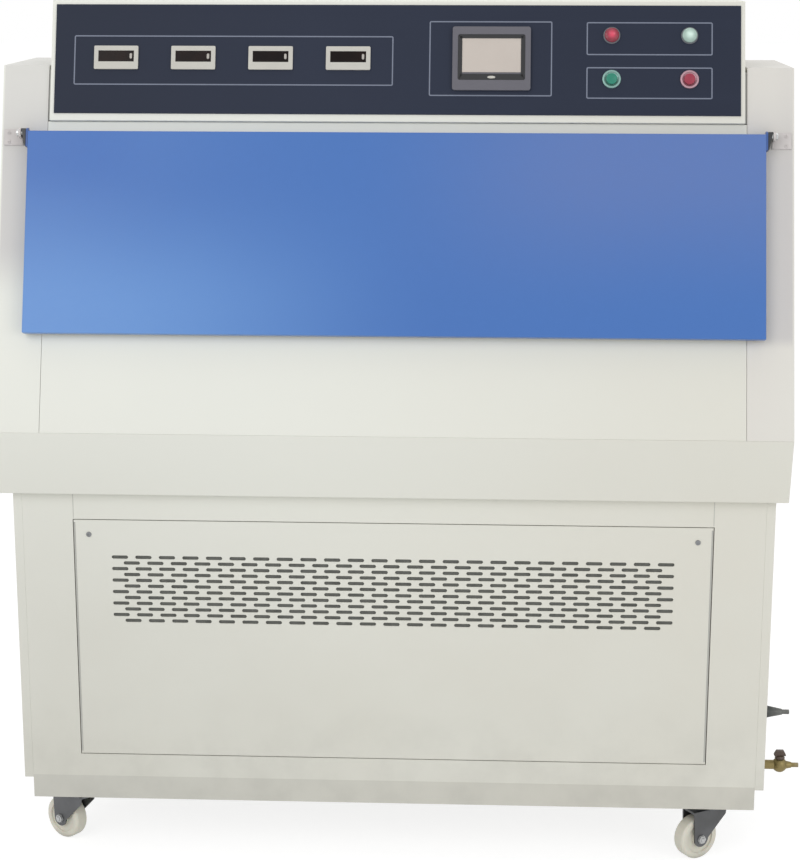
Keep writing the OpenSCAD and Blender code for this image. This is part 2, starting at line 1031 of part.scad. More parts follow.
// Puts its children at each filled bay: one bay on each face is left empty
module at_bays() {
    on_front()
        for (i = [0 : bays - 2])
            translate([bay_x(i), 0, 0])
                children();
    on_rear()
        for (i = [1 : bays - 1])
            translate([bay_x(i), 0, 0])
                children();
}

// Specimen holder: a folded plate with two windows and the rods behind its specimen
module holder() {
    length = holder_s1 - holder_s0;
    mid = (holder_s0 + holder_s1) / 2;
    wall = rack_n1 - rack_sheet - 1 - holder_n;
    window = (length - 42) / 2;
    difference() {
        box([-holder_w / 2, holder_s0, holder_n], [holder_w / 2, holder_s1, holder_n + wall]);
        box([-holder_w / 2 + holder_t, holder_s0 - cut, specimen_n],
            [holder_w / 2 - holder_t, holder_s1 + cut, holder_n + wall + cut]);
        for (side = [-1, 1])
            translate([0, mid + side * (window / 2 + 6), holder_n])
                cube([specimen_w - 10, window, 4 * holder_t], center = true);
    }
    for (side = [-1, 1], rod = [-1, 1])
        translate([0, mid + side * length / 4 + rod * 20, specimen_n + specimen_t + 1])
            bar_x(-holder_w / 2 + holder_t, holder_w / 2 - holder_t, 1);
}

module specimen_holders() {
    color("lightsteelblue")
        at_bays()
            holder();
}

// Flat test specimens, one in each holder
module specimens() {
    color("ivory")
        at_bays()
            box([-specimen_w / 2, holder_s0 + 5, specimen_n],
                [specimen_w / 2, holder_s1 - 5, specimen_n + specimen_t]);
}

// Outline of the blower's scroll and its outlet duct
module scroll(inside) {
    circle(scroll_r - inside);
    translate([-scroll_r + inside, 0])
        square([blower_duct_w - 2 * inside, pan_rim_z + 20 - blower_z + inside]);
}

// Blower housing under the chamber, with its outlet duct and its motor
module blower_housing() {
    color("gainsboro")
        translate([0, blower_y, blower_z])
            difference() {
                union() {
                    along_x(blower_x0, blower_x1 - blower_x0)
                        scroll(0);
                    bar_x(blower_x0 - 70, blower_x0, 32);
                    box([blower_x0, -30, -scroll_r - 2], [blower_x1, 30, -scroll_r + 6]);
                }
                along_x(blower_x0 + scroll_wall, blower_x1 - blower_x0 - 2 * scroll_wall)
                    scroll(scroll_wall);
                bar_x(blower_x1 - 5, blower_x1 + cut, 28);
                bar_x(blower_x0 - 40, blower_x0 + 5, shaft_r + running);
            }
}

// Drum wheel of the blower with its shaft in the motor
module blower_wheel() {
    x0 = blower_x0 + 6;
    x1 = blower_x1 - 10;
    color("dimgray")
        translate([0, blower_y, blower_z]) {
            bar_x(x0, x0 + 2, blower_r);
            bar_x(x0 - 40, x0, shaft_r);
            for (i = [0 : blower_blades - 1])
                rotate([i * 360 / blower_blades, 0, 0])
                    box([x0 + 2, blower_r - 10, -0.5], [x1 - 2, blower_r - 1, 0.5]);
            difference() {
                bar_x(x1 - 2, x1, blower_r);
                bar_x(x1 - 3, x1 + 1, blower_r - 10);
            }
        }
}

// Upright plate in the base with the contactors in front and the ballasts behind
module electrical_plate() {
    width = plate_x1 - plate_x0;
    color("gray")
        translate([plate_x0, plate_y, frame_z]) {
            cube([width, 2, plate_rise]);
            for (i = [0 : floor(width / device_pitch) - 1])
                translate([30 + i * device_pitch, 0, 0]) {
                    box([10, -80, 300], [55, 0, 375]);
                    box([0, -50, 90], [80, 0, 180]);
                }
            for (i = [0 : floor(width / (ballast_l + 10)) - 1], row = [0 : 3])
                translate([20 + i * (ballast_l + 10), 2, 40 + row * 100])
                    cube([ballast_l, ballast_d, 40]);
        }
}

// Water tank in the base, with its cap and the outlet to the pump
module water_tank() {
    wall = 3;
    color("white")
        translate([tank_x0, -tank_d / 2, frame_z])
            difference() {
                union() {
                    cube([tank_l, tank_d, tank_h]);
                    translate([tank_l / 2, tank_d / 2, tank_h])
                        cylinder(h = 18, r = 40);
                }
                translate([wall, wall, wall])
                    cube([tank_l - 2 * wall, tank_d - 2 * wall, tank_h - 2 * wall]);
            }
}

// Spray pump on the base pan, its riser, and the nozzle pipe under the chamber's roof
module spray_pipe() {
    pump_r = 34;
    pipe_x0 = -cheek_in + 54;
    nozzle_pitch = 110;
    color("silver") {
        translate([riser_x, 0, frame_z]) {
            cylinder(h = 80, r = pump_r);
            cylinder(h = header_z - frame_z, r = riser_r);
        }
        translate([0, 0, frame_z + 40])
            bar_x(tank_x1, riser_x, 6);
        translate([0, 0, header_z]) {
            bar_x(pipe_x0, riser_x + riser_r, riser_r);
            for (x = [pipe_x0 + 40 : nozzle_pitch : riser_x - 20])
                translate([x, 0, 0])
                    rotate([90, 0, 0])
                        cylinder(h = 26, r = 3.5, center = true);
        }
        for (x = [pipe_x0 + 20, -40, riser_x - 30])
            translate([x, 0, header_z])
                cylinder(h = roof_z - header_z, r = 3);
    }
}

// Hose fitting on the right side cover
module hose_inlet() {
    color("darkslategray")
        translate([cover_x, side_y, inlet_z])
            rotate([0, 90, 0]) {
                cylinder(h = 7, r = 13, $fn = 6);
                translate([0, 0, 7])
                    cylinder(h = 29, r1 = 11, r2 = inlet_r + 1);
                translate([0, 0, 36])
                    cylinder(h = 12, r = inlet_r);
            }
}

// Brass drain valve: nut, ball body, tapered outlet with its hose spigot
module drain_valve() {
    spigot = 12;
    color("goldenrod")
        translate([cover_x, side_y, drain_z])
            difference() {
                union() {
                    rotate([0, 90, 0]) {
                        cylinder(h = 8, r = 12, $fn = 6);
                        cylinder(h = ball_x - cover_x, r = 8);
                        translate([0, 0, ball_x - cover_x])
                            cylinder(h = drain_reach - spigot - (ball_x - cover_x),
                                     r1 = drain_r + 5, r2 = drain_r + 1);
                        cylinder(h = drain_reach, r = drain_r);
                    }
                    translate([ball_x - cover_x, 0, 0]) {
                        sphere(ball_r);
                        cylinder(h = lever_z - drain_z - 3, r = 6);
                    }
                }
                translate([ball_x - cover_x, 0, ball_r - 4])
                    cylinder(h = 20, r = 3 + running);
                translate([drain_reach - 20, 0, 0])
                    bar_x(0, 21, drain_r - 2);
            }
}

// Butterfly handle of the drain valve, with its stem in the body
module drain_lever() {
    color("saddlebrown")
        translate([ball_x, side_y, 0]) {
            translate([0, 0, drain_z + ball_r - 3.7])
                cylinder(h = lever_z - drain_z - ball_r + 4, r = 3);
            translate([0, 0, lever_z - 2.7])
                rotate([90, 0, 0])
                    linear_extrude(8, center = true)
                        polygon([[-10, 0], [10, 0], [10, 2], [6, 9], [-6, 9], [-10, 2]]);
        }
}

// Isolator switch body and mains gland on the left side cover
module mains_entry() {
    depth = isolator_reach - 40;
    color("dimgray") {
        translate([-cover_x, isolator_y, isolator_z])
            rotate([0, -90, 0])
                linear_extrude(depth)
                    rounded(isolator_w, isolator_w, 6);
        translate([-cover_x, isolator_y, isolator_z - 260])
            rotate([0, -90, 0]) {
                cylinder(h = 8, r = 15, $fn = 6);
                cylinder(h = 28, r = 11);
            }
    }
}

// Knob of the isolator: a round skirt with a grip across it
module isolator_knob() {
    depth = isolator_reach - 40;
    color("black")
        translate([-cover_x - depth - gap, isolator_y, isolator_z])
            rotate([0, -90, 0]) {
                cylinder(h = 14, r = 25);
                linear_extrude(40 - gap)
                    obround(46, 13);
            }
}

// Puts its children at a caster, turned to its heading
module at_caster(x, y, heading) {
    translate([x * caster_x, y * caster_y, 0])
        rotate([0, 0, heading])
            children();
}

// Top plates of the casters with their raceways and king pins
module caster_plates() {
    color("silver")
        for (x = [-1, 1], y = [-1, 1])
            translate([x * caster_x, y * caster_y, 0]) {
                translate([0, 0, plate_z])
                    linear_extrude(base_z - plate_z)
                        rounded(80, 62, 5);
                translate([0, 0, race_z])
                    cylinder(h = plate_z - race_z, r = 23);
                translate([0, 0, crown_z - 3])
                    cylinder(h = race_z - crown_z + 3, r = 5);
                translate([0, 0, crown_z - 3])
                    cylinder(h = 3 - gap, r = 8);
            }
}

// Side outline of a fork's leg: as wide as the crown, rounded round the axle
module leg_outline() {
    foot_r = 14;
    polygon([[-21, crown_z + 4], [-19, crown_z - 10], [trail - foot_r, wheel_d / 2],
             [trail + foot_r, wheel_d / 2], [trail + 16, crown_z + 4]]);
    translate([trail, wheel_d / 2])
        circle(foot_r);
}

// Caster fork: crown, two legs and the axle bolt through them
module fork() {
    width = fork_in + fork_t;
    difference() {
        union() {
            translate([0, 0, crown_z])
                cylinder(h = race_z - gap - crown_z, r = 24);
            box([-21, -width, crown_z], [trail + 16, width, crown_z + 4]);
            for (side = [-1, 1])
                translate([0, side * (fork_in + fork_t / 2) + fork_t / 2, 0])
                    rotate([90, 0, 0])
                        linear_extrude(fork_t)
                            leg_outline();
        }
        translate([0, 0, crown_z - cut])
            cylinder(h = 20, r = 5 + running);
    }
    translate([trail, 0, wheel_d / 2])
        rotate([90, 0, 0]) {
            cylinder(h = 2 * width, r = axle_r, center = true);
            for (side = [-1, 1])
                translate([0, 0, side * (width + 2)])
                    cylinder(h = 4, r = axle_r + 3, center = true, $fn = 6);
        }
}

// Caster wheel: rounded tread, dished sides and a hub on the axle
module wheel() {
    r = wheel_d / 2;
    edge = 5;
    translate([trail, 0, r])
        rotate([90, 0, 0])
            rotate_extrude()
                difference() {
                    union() {
                        translate([axle_r + running, -wheel_w / 2])
                            square([r - edge - axle_r - running, wheel_w]);
                        translate([axle_r + running, -wheel_w / 2 + edge])
                            square([r - axle_r - running, wheel_w - 2 * edge]);
                        for (side = [-1, 1])
                            translate([r - edge, side * (wheel_w / 2 - edge)])
                                circle(edge);
                    }
                    for (side = [-1, 1])
                        translate([r / 2 + 1, side * wheel_w / 2])
                            square([r / 2 - 5, 6], center = true);
                }
}

module fork_front_left() color("dimgray") at_caster(-1, -1, heading_front_left) fork();
module fork_front_right() color("dimgray") at_caster(1, -1, heading_front_right) fork();
module fork_rear_left() color("dimgray") at_caster(-1, 1, heading_rear_left) fork();
module fork_rear_right() color("dimgray") at_caster(1, 1, heading_rear_right) fork();

module wheel_front_left() color("beige") at_caster(-1, -1, heading_front_left) wheel();
module wheel_front_right() color("beige") at_caster(1, -1, heading_front_right) wheel();
module wheel_rear_left() color("beige") at_caster(-1, 1, heading_rear_left) wheel();
module wheel_rear_right() color("beige") at_caster(1, 1, heading_rear_right) wheel();

base_frame();
base_pan();
front_frame();
rear_frame();
side_covers();
service_panel();
rear_panel();
panel_screws();
belly_tray();
cheek_left();
cheek_right();
front_fascia();
rear_fascia();
control_box();
control_plate();
counters();
display_windows();
screen_bezel();
red_lamp();
white_lamp();
button_rings();
hinge_brackets();
door_seals();
chamber_liner();
water_pan();
pan_heater();
uv_tubes();
lamp_sockets();
specimen_racks();
specimen_holders();
specimens();
blower_housing();
electrical_plate();
water_tank();
spray_pipe();
hose_inlet();
drain_valve();
mains_entry();
caster_plates();
blower_wheel();
front_door();
front_door_lining();
rear_door();
rear_door_lining();
green_button();
red_button();
counter_key_1();
counter_key_2();
counter_key_3();
counter_key_4();
drain_lever();
isolator_knob();
fork_front_left();
fork_front_right();
fork_rear_left();
fork_rear_right();
wheel_front_left();
wheel_front_right();
wheel_rear_left();
wheel_rear_right();
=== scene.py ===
"""Dresses a UV weathering test chamber: its finishes, small fittings, studio and camera.

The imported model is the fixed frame. Lengths are in metres in that frame: the origin on
the floor under the middle of the cabinet, +X to the viewer's right, +Y to the back and
+Z up. Places on a sloping face are x, s up the slope from the belly edge, and n outwards.
"""

import logging
import math
from collections.abc import Callable, Iterable, Sequence
from dataclasses import dataclass
from enum import Enum
from itertools import product

import bpy
from mathutils import Matrix, Vector


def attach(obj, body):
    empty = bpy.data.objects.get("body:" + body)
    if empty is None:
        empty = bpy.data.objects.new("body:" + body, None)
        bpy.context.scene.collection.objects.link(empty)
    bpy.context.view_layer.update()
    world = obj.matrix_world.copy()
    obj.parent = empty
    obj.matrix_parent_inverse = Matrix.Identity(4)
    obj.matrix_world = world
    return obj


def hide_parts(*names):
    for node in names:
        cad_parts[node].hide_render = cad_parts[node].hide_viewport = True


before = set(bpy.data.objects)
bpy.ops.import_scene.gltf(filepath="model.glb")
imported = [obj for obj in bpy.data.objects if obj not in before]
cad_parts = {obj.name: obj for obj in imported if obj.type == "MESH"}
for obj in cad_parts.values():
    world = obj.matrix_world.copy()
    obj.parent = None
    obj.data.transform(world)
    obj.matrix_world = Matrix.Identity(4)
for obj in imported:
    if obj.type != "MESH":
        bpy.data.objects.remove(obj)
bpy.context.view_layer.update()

log = logging.getLogger("weathering_chamber")

SLOPE = math.radians(18)
HALF_DEPTH = 0.310
BELLY_Z = 0.760
BASE_FRONT = -0.265
COVER_X = 0.632
CASTER_X, CASTER_Y = 0.551, 0.208
PLATE_N = 0.008
PANEL_S = 0.622
SCREEN_X = 0.157
LAMP_X = (0.353, 0.4796)
LAMP_S = 0.662
LENS_RISE = 0.006

SIDES = (-1, 1)
CABINET = "cabinet"

Colour = tuple[float, float, float]
Step = tuple[float, float]
Outline = tuple[Step, ...]
Spans = tuple[Step, Step, Step]


def paint(code: str) -> Colour:
    """Turns a colour as a screen shows it into the linear values that shaders take.

    Args:
        code: Six hexadecimal digits, two for each of red, green and blue.

    Returns:
        The linear red, green and blue.
    """
    parts = [int(code[i : i + 2], 16) / 255 for i in (0, 2, 4)]
    return tuple(c / 12.92 if c < 0.04045 else ((c + 0.055) / 1.055) ** 2.4 for c in parts)


def shade(colour: Colour, amount: float) -> Colour:
    """A colour made lighter or darker by a plain factor."""
    return tuple(min(c * amount, 1.0) for c in colour)


def on_face(x: float, s: float, n: float, side: "Face") -> Matrix:
    """Gives the place of a fitting on a sloping face.

    Args:
        x: Distance to the viewer's right of the cabinet's middle.
        s: Distance up the slope from the belly edge.
        n: Distance outwards from the face.
        side: The front or the rear face.

    Returns:
        The matrix that takes a piece modelled flat, with +Z outwards, to its place.
    """
    mirrored = 1 if side is Face.FRONT else -1
    y = -HALF_DEPTH + s * math.sin(SLOPE) - n * math.cos(SLOPE)
    z = BELLY_Z + s * math.cos(SLOPE) + n * math.sin(SLOPE)
    place = Matrix.Translation((x * mirrored, y, z))
    tilt = Matrix.Rotation(math.pi / 2 - SLOPE, 4, "X")
    return Matrix.Rotation(side.value, 4, "Z") @ place @ tilt


class Face(Enum):
    """The cabinet's two working faces, as the turn about Z from the front one."""

    FRONT = 0.0
    REAR = math.pi


DOORS = ((Face.FRONT, "front"), (Face.REAR, "rear"))


def basis(right: Vector, up: Vector, out: Vector) -> Matrix:
    """Turn that takes X, Y and Z to three directions at right angles."""
    return Matrix((right, up, out)).transposed().to_4x4()


class Grain(Enum):
    """The way that a brushed or rolled metal's lines run, as a stretch on X, Y and Z."""

    ALONG_X = (0.02, 1.0, 1.0)
    NONE = (1.0, 1.0, 1.0)


class Wire:
    """An output socket of a shader node, with arithmetic that adds Math nodes."""

    def __init__(self, shader: "Shader", socket: bpy.types.NodeSocket) -> None:
        """Keeps the socket and the shader that it belongs to.

        Args:
            shader: Shader whose tree new nodes go into.
            socket: The output socket.
        """
        self.shader = shader
        self.socket = socket

    def math(self, operation: str, *values: "Wire | float") -> "Wire":
        """Adds a Math node.

        Args:
            operation: The node's operation.
            values: Its inputs, in order.

        Returns:
            The node's output.
        """
        return self.shader.add(
            "ShaderNodeMath", {"operation": operation}, dict(enumerate(values))
        )

    def __add__(self, other: "Wire | float") -> "Wire":
        """This value plus another."""
        return self.math("ADD", self, other)

    def __radd__(self, other: float) -> "Wire":
        """A number plus this value."""
        return self.math("ADD", other, self)

    def __sub__(self, other: "Wire | float") -> "Wire":
        """This value less another."""
        return self.math("SUBTRACT", self, other)

    def __rsub__(self, other: float) -> "Wire":
        """A number less this value."""
        return self.math("SUBTRACT", other, self)

    def __mul__(self, other: "Wire | float") -> "Wire":
        """This value times another."""
        return self.math("MULTIPLY", self, other)

    def __truediv__(self, other: "Wire | float") -> "Wire":
        """This value divided by another."""
        return self.math("DIVIDE", self, other)

    def __abs__(self) -> "Wire":
        """This value without its sign."""
        return self.math("ABSOLUTE", self)

    def __gt__(self, other: float) -> "Wire":
        """1 where this value is above a number, else 0."""
        return self.math("GREATER_THAN", self, other)

    def __lt__(self, other: float) -> "Wire":
        """1 where this value is below a number, else 0."""
        return self.math("LESS_THAN", self, other)

    def step(self, low: float, high: float) -> "Wire":
        """Rises smoothly from 0 to 1 while this value goes from low to high.

        Args:
            low: Value at which the result is 0.
            high: Value at which the result is 1.

        Returns:
            The smoothed step, held between 0 and 1.
        """
        limits = {"From Min": low, "From Max": high, "To Min": 0.0, "To Max": 1.0}
        smooth = {"interpolation_type": "SMOOTHSTEP"}
        return self.shader.add("ShaderNodeMapRange", smooth, {"Value": self, **limits})

    def sine(self, waves: float) -> "Wire":
        """Sine of this value times a number."""
        return (self * waves).math("SINE", self * waves)


class Shader:
    """A material with one Principled shader, written as expressions."""

    def __init__(self, name: str, **fixed: float | Colour) -> None:
        """Makes the material.

        Args:
            name: The material's name.
            fixed: Uniform values of the shader's sockets, with _ for a space.
        """
        self.material = bpy.data.materials.new(name)
        self.material.use_nodes = True
        self.tree = self.material.node_tree
        self.tree.nodes.clear()
        self.surface = self.tree.nodes.new("ShaderNodeBsdfPrincipled")
        self.output = self.tree.nodes.new("ShaderNodeOutputMaterial")
        self.tree.links.new(self.surface.outputs[0], self.output.inputs["Surface"])
        for key, value in fixed.items():
            socket = self.surface.inputs[key.replace("_", " ")]
            colour = isinstance(value, tuple)
            socket.default_value = (*value, 1.0) if colour else value
        self.place = self.add("ShaderNodeTexCoord", output="Object")

    def add(
        self,
        kind: str,
        settings: dict[str, object] | None = None,
        sockets: dict[int | str, object] | None = None,
        output: int | str = 0,
    ) -> Wire:
        """Adds one node.

        Args:
            kind: The node's type.
            settings: Its settings, set before the sockets. "stops" gives a ramp's colours.
            sockets: Values or links of its inputs, by name or place.
            output: Name or place of the output that is wanted.

        Returns:
            That output.
        """
        node = self.tree.nodes.new(kind)
        for key, value in (settings or {}).items():
            if key == "stops":
                self._fill_ramp(node.color_ramp, value)
            else:
                setattr(node, key, value)
        for key, value in (sockets or {}).items():
            self._feed(node.inputs[key], value)
        return Wire(self, node.outputs[output])

    def _fill_ramp(
        self, ramp: bpy.types.ColorRamp, stops: Sequence[tuple[float, Colour]]
    ) -> None:
        """Sets a ramp's stops.

        Args:
            ramp: The ramp.
            stops: Place and colour of each stop.
        """
        while len(ramp.elements) < len(stops):
            ramp.elements.new(1.0)
        for element, (place, colour) in zip(ramp.elements, stops):
            element.position = place
            element.color = (*colour, 1.0)

    def _feed(self, socket: bpy.types.NodeSocket, value: object) -> None:
        """Links or sets an input.

        Args:
            socket: The input.
            value: A wire, a number, a vector or a colour.
        """
        if isinstance(value, Wire):
            self.tree.links.new(value.socket, socket)
        elif isinstance(value, tuple) and socket.type == "RGBA":
            socket.default_value = (*value, 1.0)
        else:
            socket.default_value = value

    def axes(self) -> tuple[Wire, Wire, Wire]:
        """The three object coordinates, one by one."""
        split = self.add("ShaderNodeSeparateXYZ", None, {0: self.place})
        outputs = split.socket.node.outputs
        return tuple(Wire(self, outputs[i]) for i in range(3))

    def noise(
        self, scale: float, detail: float = 2.0, grain: Grain = Grain.NONE
    ) -> Wire:
        """Cloudy noise from 0 to 1.

        Args:
            scale: Blotches to the metre.
            detail: Octaves of finer noise in it.
            grain: The way that it is stretched.

        Returns:
            The noise.
        """
        place = self.add(
            "ShaderNodeMapping", None, {"Vector": self.place, "Scale": grain.value}
        )
        return self.add(
            "ShaderNodeTexNoise",
            {"noise_dimensions": "3D"},
            {"Vector": place, "Scale": scale, "Detail": detail, "Roughness": 0.55},
        )

    def distance_from(self, point: Vector) -> Wire:
        """Distance of the surface from a point."""
        return self.add(
            "ShaderNodeVectorMath",
            {"operation": "DISTANCE"},
            {0: self.place, 1: tuple(point)},
            "Value",
        )

    def mix(self, factor: Wire | float, first: object, second: object) -> Wire:
        """Mixes two colours.

        Args:
            factor: Share of the second one.
            first: Colour or wire at 0.
            second: Colour or wire at 1.

        Returns:
            The mixed colour.
        """
        return self.add(
            "ShaderNodeMix", {"data_type": "RGBA"}, {0: factor, 6: first, 7: second}, 2
        )

    def colour(self, value: Wire) -> None:
        """Feeds the base colour."""
        self._feed(self.surface.inputs["Base Color"], value)

    def roughness(self, value: Wire) -> None:
        """Feeds the roughness."""
        self._feed(self.surface.inputs["Roughness"], value)

    def metallic(self, value: Wire) -> None:
        """Feeds the metallic share."""
        self._feed(self.surface.inputs["Metallic"], value)

    def emission(self, value: Wire) -> None:
        """Feeds the colour of the glow."""
        self._feed(self.surface.inputs["Emission Color"], value)

    def relief(self, height: Wire, depth: float) -> None:
        """Raises the surface by a height from 0 to 1.

        Args:
            height: The height.
            depth: What 1 stands for, in metres.
        """
        bump = self.add(
            "ShaderNodeBump", None, {"Strength": 1.0, "Distance": depth, "Height": height}
        )
        self._feed(self.surface.inputs["Normal"], bump)


@dataclass(frozen=True)
class PowderCoat:
    """Baked powder paint on sheet: orange peel, slow tone changes, dust low down.

    Painted shade darkens it towards the bottom, towards the right with a warm tint, and at
    the lower left. A door shade above 0 adds a grey band of painted shadow that the door
    casts on a
    cheek beside it: soft below on the left, and down to the door's foot on the right.
    """

    name: str
    colour: Colour
    low_colour: Colour
    right_shade_tint: Colour = (1.0, 0.972, 0.945)
    warm_x: Step = (-0.35, 0.65)
    rise_z: Step = (0.10, 0.90)
    shade_corner_x: Step = (-0.62, 0.0)
    shade_corner_z: Step = (0.35, 0.95)
    dust_z: Step = (0.08, 0.35)
    # The door shade and the band fields paint the shadow that the door casts on a cheek.
    door_shade: float = 0.0
    door_shadow_colour: Colour = paint("C4C1C0")
    band_side_x: Step = (-0.3, 0.6)
    band_left_z: Step = (0.96, 1.06)
    band_right_z: Step = (0.900, 0.922)
    band_right_x: Step = (0.612, 0.640)
    band_right_share: Step = (0.58, 0.22)
    band_head_z: Step = (1.18, 1.33)
    band_head_loss: Step = (0.3, 0.4)
    band_edge_x: Step = (0.646, 0.649)

    def build(self) -> bpy.types.Material:
        """Makes the material."""
        shader = Shader(self.name, Specular_IOR_Level=0.42)
        x, _, z = shader.axes()
        cloud = shader.noise(2.3, 4.0)
        peel = shader.noise(620.0, 1.0)
        wave = shader.noise(9.0, 1.0)
        # Painted shade: the low colour darkens the coat towards the bottom.
        body = shader.mix(z.step(*self.rise_z), self.low_colour, self.colour)
        # Painted shade towards the right, with a warm tint.
        right_shade_colour = tuple(c * w for c, w in zip(self.low_colour, self.right_shade_tint))
        body = shader.mix(x.step(*self.warm_x) * 0.55, body, right_shade_colour)
        # Painted shade at the lower left, where the key lamp lights the coat most.
        corner = (1 - x.step(*self.shade_corner_x)) * (1 - z.step(*self.shade_corner_z)) * 0.5
        body = shader.mix(corner, body, shade(self.low_colour, 0.90))
        tone = shader.mix(cloud.step(0.3, 0.7) * 0.35, body, shade(self.colour, 0.95))
        dust = (1 - z.step(*self.dust_z)) * shader.noise(14.0, 5.0).step(0.35, 0.75)
        if self.door_shade:
            # Painted shadow of the door on the cheek.
            tone = shader.mix(self.band(x, z), tone, self.door_shadow_colour)
        shader.colour(shader.mix(dust * 0.35, tone, shade(self.low_colour, 0.72)))
        shader.roughness(0.40 + peel * 0.10 + dust * 0.22)
        shader.relief(peel * 0.25 + wave * 2.0, 0.00007)
        return shader.material

    def band(self, x: Wire, z: Wire) -> Wire:
        """Strength of the band beside the door.

        Args:
            x: Object coordinate to the right.
            z: Object coordinate upwards.

        Returns:
            The strength, 0 away from the band.
        """
        # Painted shadow of the door: a left and a right part, weaker towards the head, cut
        # at the end faces.
        right = x.step(*self.band_side_x)
        left_band = z.step(*self.band_left_z) * self.door_shade
        least, more = self.band_right_share
        share = least + x.step(*self.band_right_x) * more
        right_band = z.step(*self.band_right_z) * share
        beside = left_band + (right_band - left_band) * right
        least, more = self.band_head_loss
        beside = beside * (1 - z.step(*self.band_head_z) * (least + right * more))
        return beside * (1 - abs(x).step(*self.band_edge_x))


@dataclass(frozen=True)
class GlossPaint:
    """Smooth sprayed enamel with a clear top coat, paler where the light pools on it."""

    name: str
    colour: Colour
    light_colour: Colour
    sheen_colour: Colour
    corner_shade_colour: Colour
    pool_x: Step = (-0.40, 0.14)
    pool_z: Step = (1.00, 1.24)
    sheen_x: Step = (-0.05, 0.40)
    sheen_z: Step = (0.98, 1.24)
    shade_corner_x: Step = (-0.52, -0.36)
    shade_corner_z: Step = (1.12, 1.20)

    def build(self) -> bpy.types.Material:
        """Makes the material."""
        shader = Shader(
            self.name, Specular_IOR_Level=0.25, Coat_Weight=0.20, Coat_Roughness=0.20
        )
        x, _, z = shader.axes()
        drift = shader.noise(1.7, 2.0) * 0.10
        across, up = x + drift, z + drift
        pool = (1 - across.step(*self.pool_x)) * (1 - up.step(*self.pool_z))
        # Painted sheen: a reflection greys the blue towards the upper right.
        sheen = across.step(*self.sheen_x) * up.step(*self.sheen_z)
        body = shader.mix(pool, self.colour, self.light_colour)
        body = shader.mix(sheen, body, self.sheen_colour)
        # Painted shade in the door's top-left corner.
        corner = (1 - x.step(*self.shade_corner_x)) * z.step(*self.shade_corner_z)
        body = shader.mix(corner * 0.7, body, self.corner_shade_colour)
        fleck = shader.noise(75.0, 4.0)
        bright = shade(self.colour, 1.25)
        shader.colour(shader.mix(fleck.step(0.35, 0.8) * 0.06, body, bright))
        shader.roughness(0.30 + fleck * 0.10)
        wave = shader.noise(7.0, 1.0)
        shader.relief(shader.noise(300.0, 1.0) * 0.3 + wave * 2.5, 0.00006)
        return shader.material


@dataclass(frozen=True)
class Metal:
    """Bare or plated metal with its grain, stains and small dents."""

    name: str
    colour: Colour
    stain: Colour
    rough: float
    grain: Grain = Grain.NONE
    spangle: float = 0.0

    def build(self) -> bpy.types.Material:
        """Makes the material."""
        shader = Shader(self.name, Metallic=1.0)
        scale = 90.0 if self.grain is Grain.NONE else 420.0
        lines = shader.noise(scale, 3.0, self.grain)
        stain = shader.noise(11.0, 5.0).step(0.42, 0.80)
        body = shader.mix(lines, shade(self.colour, 0.88), shade(self.colour, 1.08))
        if self.spangle:
            sockets = {"Vector": shader.place, "Scale": 85.0}
            cell = shader.add("ShaderNodeTexVoronoi", None, sockets, "Color")
            body = shader.mix(self.spangle, body, shader.mix(0.5, cell, self.colour))
        shader.colour(shader.mix(stain * 0.45, body, self.stain))
        shader.roughness(self.rough + (lines - 0.5) * 0.16 + stain * 0.12)
        shader.relief(lines, 0.000025)
        return shader.material


@dataclass(frozen=True)
class Fitting:
    """Pipe fitting: dirty and dark at its root, rubbed pale towards its tip."""

    name: str
    root: Colour
    tip: Colour
    reach: Step
    metal: float

    def build(self) -> bpy.types.Material:
        """Makes the material."""
        shader = Shader(self.name, Metallic=self.metal)
        x, _, _ = shader.axes()
        grit = shader.noise(210.0, 4.0)
        stain = shader.noise(60.0, 4.0).step(0.45, 0.80)
        body = shader.mix(x.step(*self.reach), self.root, self.tip)
        body = shader.mix(grit, shade(self.root, 0.85), body)
        shader.colour(shader.mix(stain * 0.4, body, shade(self.root, 0.62)))
        shader.roughness(0.38 + grit * 0.14 + stain * 0.15)
        shader.relief(grit, 0.00004)
        return shader.material


@dataclass(frozen=True)
class Lining:
    """Stainless inner skin of a door, with its hinge arms enamelled like the door."""

    name: str
    steel: Colour
    enamel: Colour
    arms: Step = (0.6018, 0.6056)

    def build(self) -> bpy.types.Material:
        """Makes the material."""
        shader = Shader(self.name, Specular_IOR_Level=0.3)
        x, _, _ = shader.axes()
        arm = (abs(x) > self.arms[0]) * (abs(x) < self.arms[1])
        lines = shader.noise(420.0, 3.0, Grain.ALONG_X)
        steel = shader.mix(lines, shade(self.steel, 0.88), shade(self.steel, 1.08))
        enamel = shader.mix(lines, shade(self.enamel, 0.94), self.enamel)
        shader.colour(shader.mix(arm, steel, enamel))
        shader.metallic(1 - arm)
        shader.roughness(0.28 + (lines - 0.5) * 0.14 + arm * 0.10)
        shader.relief(lines, 0.00002)
        return shader.material


@dataclass(frozen=True)
class CapReflectChrome:
    """Polished button sleeves, each with a little painted reflection of the cap that it
    holds.
    """

    name: str
    metal: Colour
    first_cap_reflection: Colour
    second_cap_reflection: Colour
    middle_x: float = sum(LAMP_X) / 2

    def build(self) -> bpy.types.Material:
        """Makes the material."""
        shader = Shader(self.name, Metallic=0.85)
        x, _, _ = shader.axes()
        wear = shader.noise(340.0, 4.0)
        # Painted reflection: green on the left sleeve, red on the right one.
        cap_reflection = shader.mix(x > self.middle_x, self.first_cap_reflection, self.second_cap_reflection)
        body = shader.mix(0.65, self.metal, cap_reflection)
        shader.colour(shader.mix(wear.step(0.4, 0.8) * 0.3, body, shade(self.metal, 0.7)))
        shader.roughness(0.24 + wear * 0.12)
        shader.relief(wear, 0.00002)
        return shader.material


